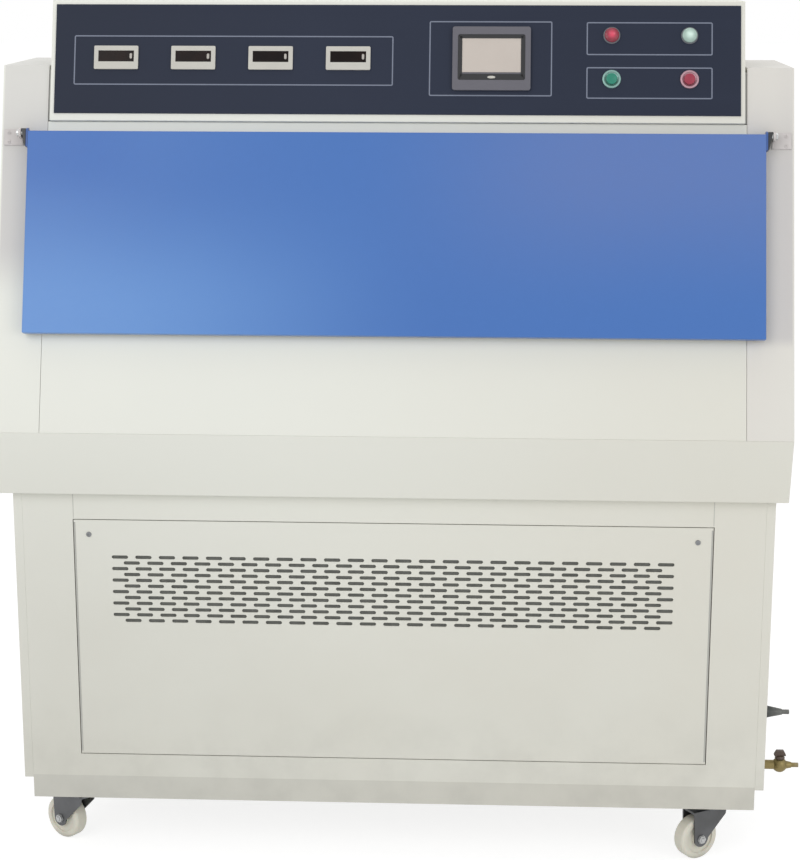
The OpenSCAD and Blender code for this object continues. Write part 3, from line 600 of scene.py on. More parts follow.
@dataclass(frozen=True)
class Plastic:
    """Moulded plastic with a fine spark texture."""

    name: str
    colour: Colour
    rough: float = 0.45
    soften: float = 0.0

    def build(self) -> bpy.types.Material:
        """Makes the material."""
        shader = Shader(self.name, Subsurface_Weight=self.soften, Subsurface_Scale=0.004)
        spark = shader.noise(1300.0, 1.0)
        cloud = shader.noise(24.0, 4.0)
        scuff = shader.noise(60.0, 6.0).step(0.62, 0.82)
        body = shader.mix(cloud, shade(self.colour, 0.90), shade(self.colour, 1.08))
        shader.colour(shader.mix(scuff * 0.25, body, shade(self.colour, 1.35)))
        shader.roughness(self.rough + (spark - 0.5) * 0.12 + scuff * 0.12)
        shader.relief(spark, 0.00003)
        return shader.material


@dataclass(frozen=True)
class PrintedPlate:
    """Dark screen-printed film on a metal plate: fine tooth, faint wipe marks."""

    name: str
    colour: Colour
    left_shade_x: Step = (-0.56, -0.11)
    right_x: Step = (0.10, 0.55)

    def build(self) -> bpy.types.Material:
        """Makes the material."""
        shader = Shader(self.name, Specular_IOR_Level=0.15)
        x, _, _ = shader.axes()
        tooth = shader.noise(900.0, 2.0)
        wipe = shader.noise(22.0, 4.0, Grain.ALONG_X)
        cloud = shader.noise(3.0, 3.0)
        body = shader.mix(cloud, shade(self.colour, 0.86), shade(self.colour, 1.14))
        # Painted shade towards both ends of the plate, more at the left.
        ends = (1 - x.step(*self.left_shade_x)) * 0.8 + x.step(*self.right_x) * 0.35
        body = shader.mix(ends, body, shade(self.colour, 0.80))
        wiped = shade(self.colour, 1.7)
        shader.colour(shader.mix(wipe.step(0.55, 0.85) * 0.10, body, wiped))
        shader.roughness(0.46 + tooth * 0.10 - wipe * 0.06)
        shader.relief(tooth, 0.00002)
        return shader.material


@dataclass(frozen=True)
class Lens:
    """Coloured clear plastic of a pilot lamp, with rings moulded under it."""

    name: str
    colour: Colour
    glow: Colour
    centre: Vector
    ring_waves: float = 3600.0

    def build(self) -> bpy.types.Material:
        """Makes the material."""
        shader = Shader(
            self.name, Specular_IOR_Level=0.6, Coat_Weight=0.3, Emission_Strength=0.22
        )
        away = shader.distance_from(self.centre)
        ring = away.sine(self.ring_waves)
        middle = 1 - away.step(0.001, 0.010)
        shader.colour(shader.mix(middle * 0.8, self.colour, self.glow))
        shader.emission(shader.mix(middle, (0.0, 0.0, 0.0), self.glow))
        shader.roughness(0.16 + ring * 0.04)
        shader.relief(ring, 0.00006)
        return shader.material


@dataclass(frozen=True)
class Rubber:
    """Dull black seal rubber with talc in its pores."""

    name: str
    colour: Colour

    def build(self) -> bpy.types.Material:
        """Makes the material."""
        shader = Shader(self.name, Specular_IOR_Level=0.25)
        pores = shader.noise(700.0, 3.0)
        talc = shader.noise(35.0, 5.0).step(0.5, 0.85)
        shader.colour(shader.mix(talc * 0.4, self.colour, shade(self.colour, 3.2)))
        shader.roughness(0.78 + pores * 0.14)
        shader.relief(pores, 0.00008)
        return shader.material


@dataclass(frozen=True)
class TubeGlass:
    """Phosphor-coated glass of a UV tube, greyed towards its ends."""

    name: str
    colour: Colour
    end_colour: Colour
    grey_x: Step = (0.500, 0.583)
    band_low_x: Step = (0.566, 0.569)
    band_high_x: Step = (0.573, 0.576)

    def build(self) -> bpy.types.Material:
        """Makes the material."""
        shader = Shader(
            self.name, Specular_IOR_Level=0.5, Coat_Weight=0.8, Coat_Roughness=0.04
        )
        x, _, _ = shader.axes()
        ends = abs(x).step(*self.grey_x)
        band = abs(x).step(*self.band_low_x) * (1 - abs(x).step(*self.band_high_x))
        powder = shader.noise(160.0, 4.0)
        body = shader.mix(powder, shade(self.colour, 0.95), self.colour)
        body = shader.mix(ends * 0.55, body, self.end_colour)
        shader.colour(shader.mix(band * 0.7, body, shade(self.end_colour, 0.45)))
        shader.roughness(0.30 + powder * 0.12)
        shader.relief(powder, 0.00002)
        return shader.material


@dataclass(frozen=True)
class TubeEnd:
    """Tube caps of pressed aluminium, and the white sockets that hold them."""

    name: str
    metal: Colour
    socket: Colour
    cap_x: Step = (0.5995, 0.6003)

    def build(self) -> bpy.types.Material:
        """Makes the material."""
        shader = Shader(self.name)
        x, _, _ = shader.axes()
        cap = 1 - abs(x).step(*self.cap_x)
        grit = shader.noise(260.0, 4.0)
        metal = shader.mix(grit, shade(self.metal, 0.85), shade(self.metal, 1.1))
        moulding = shader.mix(grit, shade(self.socket, 0.93), self.socket)
        shader.colour(shader.mix(cap, moulding, metal))
        shader.metallic(cap)
        shader.roughness(0.42 + grit * 0.14 - cap * 0.10)
        shader.relief(grit, 0.00004)
        return shader.material


@dataclass(frozen=True)
class Display:
    """Window of a counter, or the touch screen, by its place on the plate."""

    name: str
    window: Colour
    segment: Colour
    screen: Colour
    screen_x: float = SCREEN_X
    screen_half: float = 0.06
    pixel_waves: float = 5200.0

    def build(self) -> bpy.types.Material:
        """Makes the material."""
        shader = Shader(self.name, Specular_IOR_Level=0.12)
        x, _, z = shader.axes()
        low, high = self.screen_x - self.screen_half, self.screen_x + self.screen_half
        is_screen = (x > low) * (x < high)
        dots = x.sine(self.pixel_waves) * 0.5 + 0.5
        lines = z.sine(self.pixel_waves) * 0.5 + 0.5
        haze = shader.noise(16.0, 3.0)
        lit = shader.mix(haze, shade(self.screen, 0.92), shade(self.screen, 1.04))
        lit = shader.mix(dots * lines * 0.10, lit, shade(self.screen, 0.75))
        dark = shader.mix(haze.step(0.4, 0.8) * 0.5, self.window, self.segment)
        shader.colour(shader.mix(is_screen, dark, lit))
        shader.roughness(0.20 + is_screen * 0.18 + haze * 0.06)
        shader.relief(dots * lines, 0.000012)
        return shader.material


@dataclass(frozen=True)
class SpecimenPaint:
    """Painted test panels: a colour to each bay, faded where the lamps reach them."""

    name: str
    paints: tuple[Colour, ...]
    pitch: float = 0.093
    rear_shift: float = 2.0
    above_zero: float = 20.0

    def build(self) -> bpy.types.Material:
        """Makes the material."""
        shader = Shader(self.name, Specular_IOR_Level=0.4)
        x, y, _ = shader.axes()
        count = float(len(self.paints))
        bay = (x / self.pitch).math("FLOOR", x / self.pitch)
        bay = bay + (y > 0.0) * self.rear_shift + self.above_zero
        turn = bay.math("MODULO", bay, count)
        stops = [(i / count, colour) for i, colour in enumerate(self.paints)]
        body = shader.add("ShaderNodeValToRGB", {"stops": stops}, {0: (turn + 0.5) / count})
        body.socket.node.color_ramp.interpolation = "CONSTANT"
        chalk = shader.noise(55.0, 6.0)
        shader.colour(shader.mix(chalk.step(0.45, 0.8) * 0.35, body, paint("D9D8D2")))
        shader.roughness(0.38 + chalk * 0.3)
        shader.relief(chalk, 0.00005)
        return shader.material


@dataclass(frozen=True)
class Devices:
    """Zinc mounting plate with dark contactors in front and pale ballasts behind."""

    name: str
    plate: Colour
    contactor: Colour
    ballast: Colour
    front_y: Step = (0.1190, 0.1196)
    back_y: Step = (0.1224, 0.1230)

    def build(self) -> bpy.types.Material:
        """Makes the material."""
        shader = Shader(self.name, Specular_IOR_Level=0.4)
        _, y, _ = shader.axes()
        front = 1 - y.step(*self.front_y)
        back = y.step(*self.back_y)
        grit = shader.noise(120.0, 5.0)
        behind = shader.mix(back, self.plate, self.ballast)
        body = shader.mix(front, behind, self.contactor)
        shader.colour(shader.mix(grit.step(0.4, 0.8) * 0.25, body, shade(self.plate, 0.6)))
        shader.metallic((1 - front) * (1 - back) * 0.9)
        shader.roughness(0.42 + grit * 0.16)
        shader.relief(grit, 0.00005)
        return shader.material


@dataclass(frozen=True)
class WheelPolymer:
    """Cast cream polymer, greyed by the floor on its tread."""

    name: str
    colour: Colour
    grime: Colour
    floor_z: Step = (0.0, 0.016)

    def build(self) -> bpy.types.Material:
        """Makes the material."""
        shader = Shader(self.name, Subsurface_Weight=0.08, Subsurface_Scale=0.004)
        _, _, z = shader.axes()
        rub = shader.noise(48.0, 6.0)
        tread = shader.noise(9.0, 3.0).step(0.3, 0.8) * rub.step(0.35, 0.75)
        low = 1 - z.step(*self.floor_z)
        body = shader.mix(rub, shade(self.colour, 0.93), shade(self.colour, 1.04))
        shader.colour(shader.mix(tread * 0.3 + low * 0.45, body, self.grime))
        shader.roughness(0.45 + rub * 0.18 + low * 0.15)
        shader.relief(rub, 0.00008)
        return shader.material


@dataclass(frozen=True)
class FilterFelt:
    """Needled fibre mat of an air filter, greyed by dust in the way of the air."""

    name: str
    colour: Colour
    dust: Colour

    def build(self) -> bpy.types.Material:
        """Makes the material."""
        shader = Shader(self.name, Specular_IOR_Level=0.15)
        fibre = shader.noise(520.0, 5.0)
        clump = shader.noise(38.0, 4.0)
        body = shader.mix(fibre, shade(self.colour, 0.78), shade(self.colour, 1.15))
        shader.colour(shader.mix(clump.step(0.40, 0.80) * 0.6, body, self.dust))
        shader.roughness(0.88 + fibre * 0.10)
        shader.relief(fibre + clump * 2.0, 0.0004)
        return shader.material


class Bench:
    """Modelling steps that the sub-assemblies share, done with Blender's own tools."""

    ROUND_FROM = math.radians(38)
    SMOOTH_TO = math.radians(40)
    TURNED_SMOOTH_TO = math.radians(32)
    CORNER_FACES = 6
    FLAT_ON = 0.9
    SHANK_RADIUS = 0.0024
    HEAD_SIDES = 24

    @staticmethod
    def clear() -> None:
        """Leaves edit mode and deselects everything."""
        if bpy.context.object and bpy.context.object.mode != "OBJECT":
            bpy.ops.object.mode_set(mode="OBJECT")
        bpy.ops.object.select_all(action="DESELECT")

    @staticmethod
    def hold(piece: bpy.types.Object) -> None:
        """Makes a piece the only one selected, and active."""
        Bench.clear()
        piece.select_set(True)
        bpy.context.view_layer.objects.active = piece

    @staticmethod
    def settle(piece: bpy.types.Object, name: str, matrix: Matrix | None = None) -> None:
        """Names a piece, takes it to its place and puts the place into its mesh.

        Args:
            piece: The piece.
            name: Its name.
            matrix: Its place, or None where it is modelled in place.
        """
        Bench.hold(piece)
        piece.name = piece.data.name = name
        if matrix is not None:
            piece.matrix_world = matrix @ piece.matrix_world
        bpy.ops.object.transform_apply(location=True, rotation=True, scale=True)

    @staticmethod
    def select_faces(
        piece: bpy.types.Object, test: Callable[[Vector, Vector], bool]
    ) -> None:
        """Selects faces in edit mode by their middle and normal.

        Args:
            piece: The piece, in object or edit mode.
            test: Takes a face's middle and normal, and says if it is wanted.
        """
        if piece.mode != "EDIT":
            Bench.hold(piece)
            bpy.ops.object.mode_set(mode="EDIT")
        bpy.ops.mesh.select_mode(type="FACE")
        bpy.ops.mesh.select_all(action="DESELECT")
        bpy.ops.object.mode_set(mode="OBJECT")
        for polygon in piece.data.polygons:
            polygon.select = test(polygon.center, polygon.normal)
        bpy.ops.object.mode_set(mode="EDIT")

    @staticmethod
    def block(name: str, low: Sequence[float], high: Sequence[float]) -> bpy.types.Object:
        """Adds a block between two corners.

        Args:
            name: Its name.
            low: Its lowest corner.
            high: Its highest corner.

        Returns:
            The block, with its place in its mesh.
        """
        Bench.clear()
        middle = [(a + b) / 2 for a, b in zip(low, high)]
        size = [b - a for a, b in zip(low, high)]
        bpy.ops.mesh.primitive_cube_add(size=1.0, location=middle, scale=size)
        piece = bpy.context.object
        Bench.settle(piece, name)
        return piece

    @staticmethod
    def bevel(piece: bpy.types.Object, width: float, segments: int = 2) -> None:
        """Rounds a piece's sharp edges and smooths its shading.

        Args:
            piece: The piece.
            width: Width of the rounding.
            segments: Faces across it.
        """
        Bench.hold(piece)
        bpy.ops.object.modifier_add(type="BEVEL")
        rounding = piece.modifiers[-1]
        rounding.width = width
        rounding.segments = segments
        rounding.limit_method = "ANGLE"
        rounding.angle_limit = Bench.ROUND_FROM
        bpy.ops.object.modifier_apply(modifier=rounding.name)
        bpy.ops.object.shade_smooth_by_angle(angle=Bench.SMOOTH_TO)
        bpy.ops.object.modifier_add(type="WEIGHTED_NORMAL")
        weighted = piece.modifiers[-1]
        weighted.keep_sharp = True
        bpy.ops.object.modifier_apply(modifier=weighted.name)

    @staticmethod
    def turned(name: str, steps: Sequence[Step], sides: int = 40) -> bpy.types.Object:
        """Turns a closed piece about +Z from the steps of its outline.

        Args:
            name: Its name.
            steps: Radius and height of each step, from the first face to the last.
            sides: Faces round it.

        Returns:
            The piece.
        """
        Bench.clear()
        radius, height = steps[0]
        bpy.ops.mesh.primitive_circle_add(
            vertices=sides, radius=radius, fill_type="NGON", location=(0, 0, height)
        )
        piece = bpy.context.object
        Bench.settle(piece, name)
        bpy.ops.object.mode_set(mode="EDIT")
        bpy.ops.mesh.select_mode(type="FACE")
        bpy.ops.mesh.select_all(action="SELECT")
        for next_radius, next_height in steps[1:]:
            rise, middle = (0, 0, next_height - height), (0, 0, next_height)
            bpy.ops.mesh.extrude_region_move(TRANSFORM_OT_translate={"value": rise})
            ratio = next_radius / radius
            bpy.ops.transform.resize(value=(ratio, ratio, 1), center_override=middle)
            radius, height = next_radius, next_height
        bpy.ops.mesh.select_all(action="SELECT")
        bpy.ops.mesh.normals_make_consistent(inside=False)
        bpy.ops.object.mode_set(mode="OBJECT")
        bpy.ops.object.shade_smooth_by_angle(angle=Bench.TURNED_SMOOTH_TO)
        return piece

    @staticmethod
    def slab(
        name: str, width: float, height: float, radius: float, low: float, high: float
    ) -> bpy.types.Object:
        """Adds a flat slab with rounded corners, in the middle, facing +Z.

        Args:
            name: Its name.
            width: Its size along X.
            height: Its size along Y.
            radius: Radius of its corners.
            low: Height of its underside.
            high: Height of its top.

        Returns:
            The slab.
        """
        Bench.clear()
        bpy.ops.mesh.primitive_plane_add(size=1.0, location=(0, 0, low))
        piece = bpy.context.object
        piece.scale = (width, height, 1)
        Bench.settle(piece, name)
        bpy.ops.object.mode_set(mode="EDIT")
        bpy.ops.mesh.select_all(action="SELECT")
        bpy.ops.mesh.bevel(offset=radius, segments=Bench.CORNER_FACES, affect="VERTICES")
        bpy.ops.mesh.select_all(action="SELECT")
        rise = (0, 0, high - low)
        bpy.ops.mesh.extrude_region_move(TRANSFORM_OT_translate={"value": rise})
        bpy.ops.mesh.select_all(action="SELECT")
        bpy.ops.mesh.normals_make_consistent(inside=False)
        bpy.ops.object.mode_set(mode="OBJECT")
        return piece

    @staticmethod
    def copies(piece: bpy.types.Object, places: Iterable[Matrix]) -> bpy.types.Object:
        """Copies a piece to several places and joins the copies.

        Args:
            piece: The piece, modelled flat at the origin. It becomes the joined piece.
            places: Where the copies go.

        Returns:
            The joined piece.
        """
        name = piece.name
        made = []
        for place in places:
            other = piece.copy()
            other.data = piece.data.copy()
            bpy.context.collection.objects.link(other)
            Bench.settle(other, name + "_copy", place)
            made.append(other)
        bpy.data.objects.remove(piece)
        Bench.join(made)
        made[0].name = made[0].data.name = name
        return made[0]

    @staticmethod
    def join(pieces: Sequence[bpy.types.Object]) -> None:
        """Joins pieces into the first of them."""
        Bench.clear()
        for piece in pieces:
            piece.select_set(True)
        bpy.context.view_layer.objects.active = pieces[0]
        bpy.ops.object.join()

    @staticmethod
    def hollow(
        piece: bpy.types.Object,
        axis: int,
        rim: float,
        squeeze: tuple[float, float] | None = None,
    ) -> None:
        """Opens a flat block into a frame.

        Args:
            piece: The block.
            axis: The axis that it is thin along: 0 for X, 1 for Y and 2 for Z.
            rim: Width of the frame.
            squeeze: Share of its height that the opening keeps, and the Y that stays.
        """
        Bench.select_faces(piece, lambda _, normal: abs(normal[axis]) > Bench.FLAT_ON)
        bpy.ops.mesh.inset(thickness=rim)
        if squeeze:
            share, fixed_y = squeeze
            middle = (0, fixed_y, 0)
            bpy.ops.transform.resize(value=(1, share, 1), center_override=middle)
        bpy.ops.mesh.delete(type="FACE")
        bpy.ops.mesh.select_mode(type="EDGE")
        bpy.ops.mesh.select_all(action="DESELECT")
        bpy.ops.mesh.select_non_manifold()
        bpy.ops.mesh.bridge_edge_loops()
        bpy.ops.mesh.select_all(action="SELECT")
        bpy.ops.mesh.normals_make_consistent(inside=False)
        bpy.ops.object.mode_set(mode="OBJECT")

    @staticmethod
    def pan_head(name: str, radius: float, height: float, shank: float) -> bpy.types.Object:
        """Turns one pan-head screw with a cross recess, facing +Z.

        Args:
            name: Its name.
            radius: Radius of the head.
            height: Height of the head.
            shank: Length of the shank under it.

        Returns:
            The screw.
        """
        neck = Bench.SHANK_RADIUS
        steps = [
            (neck, -shank), (neck, 0.0), (radius, 0.0), (radius, height * 0.35),
            (radius * 0.86, height * 0.80), (radius * 0.5, height), (radius * 0.2, height),
        ]
        screw = Bench.turned(name, steps, Bench.HEAD_SIDES)
        arm, half = radius * 0.55, radius * 0.11
        foot, crest = height * 0.4, height * 2
        for x, y in ((arm, half), (half, arm)):
            cutter = Bench.block("recess", (-x, -y, foot), (x, y, crest))
            Bench.hold(screw)
            bpy.ops.object.modifier_add(type="BOOLEAN")
            cut = screw.modifiers[-1]
            cut.object = cutter
            cut.operation = "DIFFERENCE"
            bpy.ops.object.modifier_apply(modifier=cut.name)
            bpy.data.objects.remove(cutter)
        return screw


class Paintshop:
    """All the finishes, made once, and the calls that put them on pieces."""

    def __init__(self) -> None:
        """Makes every finish."""
        steel, grain = paint("C4C6C6"), Grain.ALONG_X
        # The second powder colour is the painted shade low down, and the base of the other
        # painted shades.
        bright, low = paint("E7E8E0"), paint("D6D5CB")
        # Door blues: its own blue, a painted pool of light, a painted sheen and a painted
        # corner shade.
        blues = [paint(code) for code in ("4672B7", "6390CE", "5C78B4", "3A69B2")]
        specimens = ("A65A4E", "C9C7C0", "5A7B9C", "8B8F92", "5F8064", "BFA566")
        red_lamp, white_lamp = (
            on_face(x, LAMP_S, PLATE_N + LENS_RISE, Face.FRONT).translation for x in LAMP_X
        )
        finishes = [
            PowderCoat("powder_coat", bright, low),
            PowderCoat("powder_coat_plinth", paint("D5D4CA"), paint("CCCBC2")),
            # The cheeks get a stronger, pinker painted shade on the right and the painted
            # shadow of the door.
            PowderCoat(
                "powder_coat_cheek", bright, low, right_shade_tint=(0.97, 0.90, 0.94), door_shade=0.76
            ),
            GlossPaint("door_blue", *blues),
            Metal("frame_steel", paint("8E9194"), paint("6D6A64"), 0.46),
            Metal("stainless", steel, paint("A9A8A2"), 0.27, grain),
            Metal("zinc", paint("B4B7BA"), paint("8F8B80"), 0.36),
            Metal("fork_zinc", paint("67686A"), paint("4A4946"), 0.42),
            Metal("bolt_zinc", paint("B9BABA"), paint("96958F"), 0.42),
            Metal("heater_steel", paint("85878A"), paint("5F5C57"), 0.40),
            Metal("galvanised", paint("A9AEB1"), paint("8A8A84"), 0.42, spangle=0.35),
            Metal("dark_chrome", paint("74777C"), paint("5C5B58"), 0.30),
            Metal("aluminium", paint("C6C8CA"), paint("A3A39F"), 0.34, grain),
            Metal("screw_zinc", paint("8E9092"), paint("66645E"), 0.40),
            CapReflectChrome("chrome_ring", paint("9DA1A3"), paint("7DB3A8"), paint("C88E9D")),
            Lining("door_lining_steel", steel, paint("45619B")),
            Fitting("brass", paint("8E8058"), paint("A29A88"), (0.690, 0.700), 1.0),
            Fitting("hose_plastic", paint("3C403F"), paint("92938F"), (0.638, 0.672), 0.0),
            PrintedPlate("navy_plate", paint("2B3141")),
            Plastic("counter_grey", paint("C2C0B8"), 0.50),
            Plastic("screen_grey", paint("605F67"), 0.58),
            # The gasket, trim and seam greys also stand in for shade in gaps and seams.
            Plastic("gasket_shade_grey", paint("A2A29E"), 0.70),
            Plastic("trim_shade_grey", paint("AFAFA9"), 0.62),
            Plastic("seam_shade_grey", paint("C2C2BB"), 0.60),
            Plastic("bracket_grey", paint("CBC6C4"), 0.60),
            Plastic("screen_black", paint("1C1D20"), 0.36),
            Plastic("outline_ink", paint("767D8E"), 0.62),
            Plastic("green_cap", paint("1F7F69"), 0.36),
            Plastic("red_cap", paint("9A2E44"), 0.36),
            Plastic("white_key", paint("B4AFA8"), 0.45),
            Plastic("dark_plastic", paint("2B2D30"), 0.42),
            Plastic("brown_lever", paint("54453C"), 0.50),
            Plastic("tank_plastic", paint("DDDED6"), 0.40, 0.15),
            # The felt's dark grey also stands in for the shade behind the panel slots.
            FilterFelt("filter_felt", paint("6C6D69"), paint("4C4D4A")),
            Rubber("seal_rubber", paint("1E1F20")),
            TubeGlass("uv_glass", paint("DDE3EA"), paint("8E9398")),
            TubeEnd("tube_end", paint("C2C4C6"), paint("E0DFDA")),
            Display("display", paint("120B0A"), paint("2C1A15"), paint("C9C0B8")),
            SpecimenPaint("specimen_paint", tuple(paint(code) for code in specimens)),
            Devices("device_grey", paint("A9ADB0"), paint("2F3134"), paint("D9D8D0")),
            WheelPolymer("wheel_cream", paint("E0DDCF"), paint("9C998F")),
            Lens("red_lens", paint("86172F"), paint("E04E6A"), red_lamp),
            Lens("white_lens", paint("A3BDB2"), paint("D2E6DD"), white_lamp),
        ]
        self.materials = {finish.name: finish.build() for finish in finishes}

    def coat(self, piece: bpy.types.Object, finish: str) -> None:
        """Puts one finish on all of a piece.

        Args:
            piece: The piece.
            finish: Name of the finish.
        """
        if not piece.material_slots:
            piece.data.materials.append(None)
        for holder in piece.material_slots:
            holder.material = self.materials[finish]

    def fit(
        self,
        piece: bpy.types.Object,
        finish: str,
        slot: str,
        body: str = CABINET,
        replaces: Sequence[str] = (),
        place: Matrix | None = None,
    ) -> None:
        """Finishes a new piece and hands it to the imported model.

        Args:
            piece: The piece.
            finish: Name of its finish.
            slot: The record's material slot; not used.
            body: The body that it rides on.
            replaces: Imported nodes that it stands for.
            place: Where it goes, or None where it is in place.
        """
        if place is not None:
            Bench.settle(piece, piece.name, place)
        piece.data.materials.clear()
        self.coat(piece, finish)
        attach(piece, body)
        if replaces:
            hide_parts(*replaces)
        log.info("%s rides on %s", piece.name, body)


@dataclass
class Assembly:
    """A sub-assembly of the chamber, finished by the paint shop."""

    shop: Paintshop

    def build(self) -> None:
        """Makes all of the sub-assembly's pieces."""
        raise NotImplementedError

    def screws(
        self,
        name: str,
        size: tuple[float, float, float],
        places: Iterable[Matrix],
        finish: str = "screw_zinc",
        replaces: Sequence[str] = (),
    ) -> None:
        """Makes one screw, copies it to its places and fits the copies on the cabinet.

        Args:
            name: Name of the joined screws.
            size: Radius and height of a head, and length of its shank.
            places: Where they go, with +Z out of the surface.
            finish: Name of their finish.
            replaces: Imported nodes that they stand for.
        """
        heads = Bench.copies(Bench.pan_head(name, *size), places)
        self.shop.fit(heads, finish, "zinc", replaces=replaces)


@dataclass
class PackedParts(Assembly):
    """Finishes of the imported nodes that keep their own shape."""

    finishes: tuple[tuple[str, tuple[str, ...]], ...] = (
        ("frame_steel", ("base_frame",)),
        ("powder_coat_plinth", ("base_pan",)),
        ("powder_coat", ("front_frame", "rear_frame", "service_panel", "rear_panel")),
        ("stainless", ("chamber_liner", "water_pan", "spray_pipe")),
        ("door_lining_steel", ("front_door_lining", "rear_door_lining")),
        ("aluminium", ("specimen_racks", "specimen_holders")),
        ("galvanised", ("blower_housing", "blower_wheel")),
        ("heater_steel", ("pan_heater",)),
        ("uv_glass", ("uv_tubes",)),
        ("tube_end", ("lamp_sockets",)),
        ("specimen_paint", ("specimens",)),
        ("device_grey", ("electrical_plate",)),
        ("tank_plastic", ("water_tank",)),
        ("seal_rubber", ("door_seals",)),
        ("display", ("display_windows",)),
    )

    def build(self) -> None:
        """Coats each of the nodes."""
        for finish, nodes in self.finishes:
            for node in nodes:
                self.shop.coat(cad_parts[node], finish)
                log.info("%s keeps its packed shape", node)


@dataclass
class Sheetwork(Assembly):
    """Painted sheets, doors, brackets and castings, on copies with rounded edges."""

    bend: float = 0.0014
    corner: float = 0.0006
    key_corner: float = 0.0005
    lever_corner: float = 0.0012
    knob_corner: float = 0.0010
    weld: float = 0.000002
    flat_degrees: float = 0.3
    castings: tuple[tuple[str, str, str], ...] = (
        ("control_plate", "navy_plate", "navy_plate"),
        ("counters", "counter_grey", "counter_grey"),
        ("screen_bezel", "screen_grey", "screen_grey"),
        ("hinge_brackets", "bracket_grey", "zinc"),
        ("hose_inlet", "hose_plastic", "dark_plastic"),
        ("drain_valve", "brass", "brass"),
        ("mains_entry", "dark_plastic", "dark_plastic"),
        ("caster_plates", "zinc", "zinc"),
    )

    def build(self) -> None:
        """Rounds each node."""
        coat = "powder_coat"
        for node in ("belly_tray", "control_box"):
            self.rounded(node, coat, coat, self.bend)
        for node in ("cheek_left", "cheek_right"):
            self.rounded(node, "powder_coat_cheek", coat, self.bend)
        for node in ("front_fascia", "rear_fascia", "side_covers"):
            self.rounded(node, coat, coat, self.corner)
        for door in ("front_door", "rear_door"):
            self.rounded(door, "door_blue", "door_blue", self.corner, door)
        for node, finish, slot in self.castings:
            self.rounded(node, finish, slot, self.corner)
        for number in range(1, 5):
            key = f"counter_key_{number}"
            self.rounded(key, "white_key", "white_key", self.key_corner, key)
        lever, knob = "drain_lever", "isolator_knob"
        self.rounded(lever, "brown_lever", "brown_lever", self.lever_corner, lever)
        self.rounded(knob, "red_cap", "dark_plastic", self.knob_corner, knob)
        for end, side in product(("front", "rear"), ("left", "right")):
            fork, wheel = f"fork_{end}_{side}", f"wheel_{end}_{side}"
            self.rounded(fork, "fork_zinc", "zinc", self.corner, fork)
            self.rounded(wheel, "wheel_cream", "wheel_cream", self.corner, wheel)

    def rounded(
        self, node: str, finish: str, slot: str, radius: float, body: str = CABINET
    ) -> None:
        """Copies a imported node, rounds the copy's edges and fits it in the node's stead.

        Args:
            node: The node.
            finish: Name of its finish.
            slot: The record's material slot.
            radius: Width of the rounding.
            body: The body that it rides on.
        """
        Bench.clear()
        name = node + "_rounded"
        piece = bpy.data.objects.new(name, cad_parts[node].data.copy())
        bpy.context.collection.objects.link(piece)
        Bench.hold(piece)
        bpy.ops.object.mode_set(mode="EDIT")
        bpy.ops.mesh.select_all(action="SELECT")
        bpy.ops.mesh.remove_doubles(threshold=self.weld)
        bpy.ops.mesh.dissolve_limited(angle_limit=math.radians(self.flat_degrees))
        bpy.ops.object.mode_set(mode="OBJECT")
        Bench.bevel(piece, radius)
        piece.data.name = name
        self.shop.fit(piece, finish, slot, body, (node,))


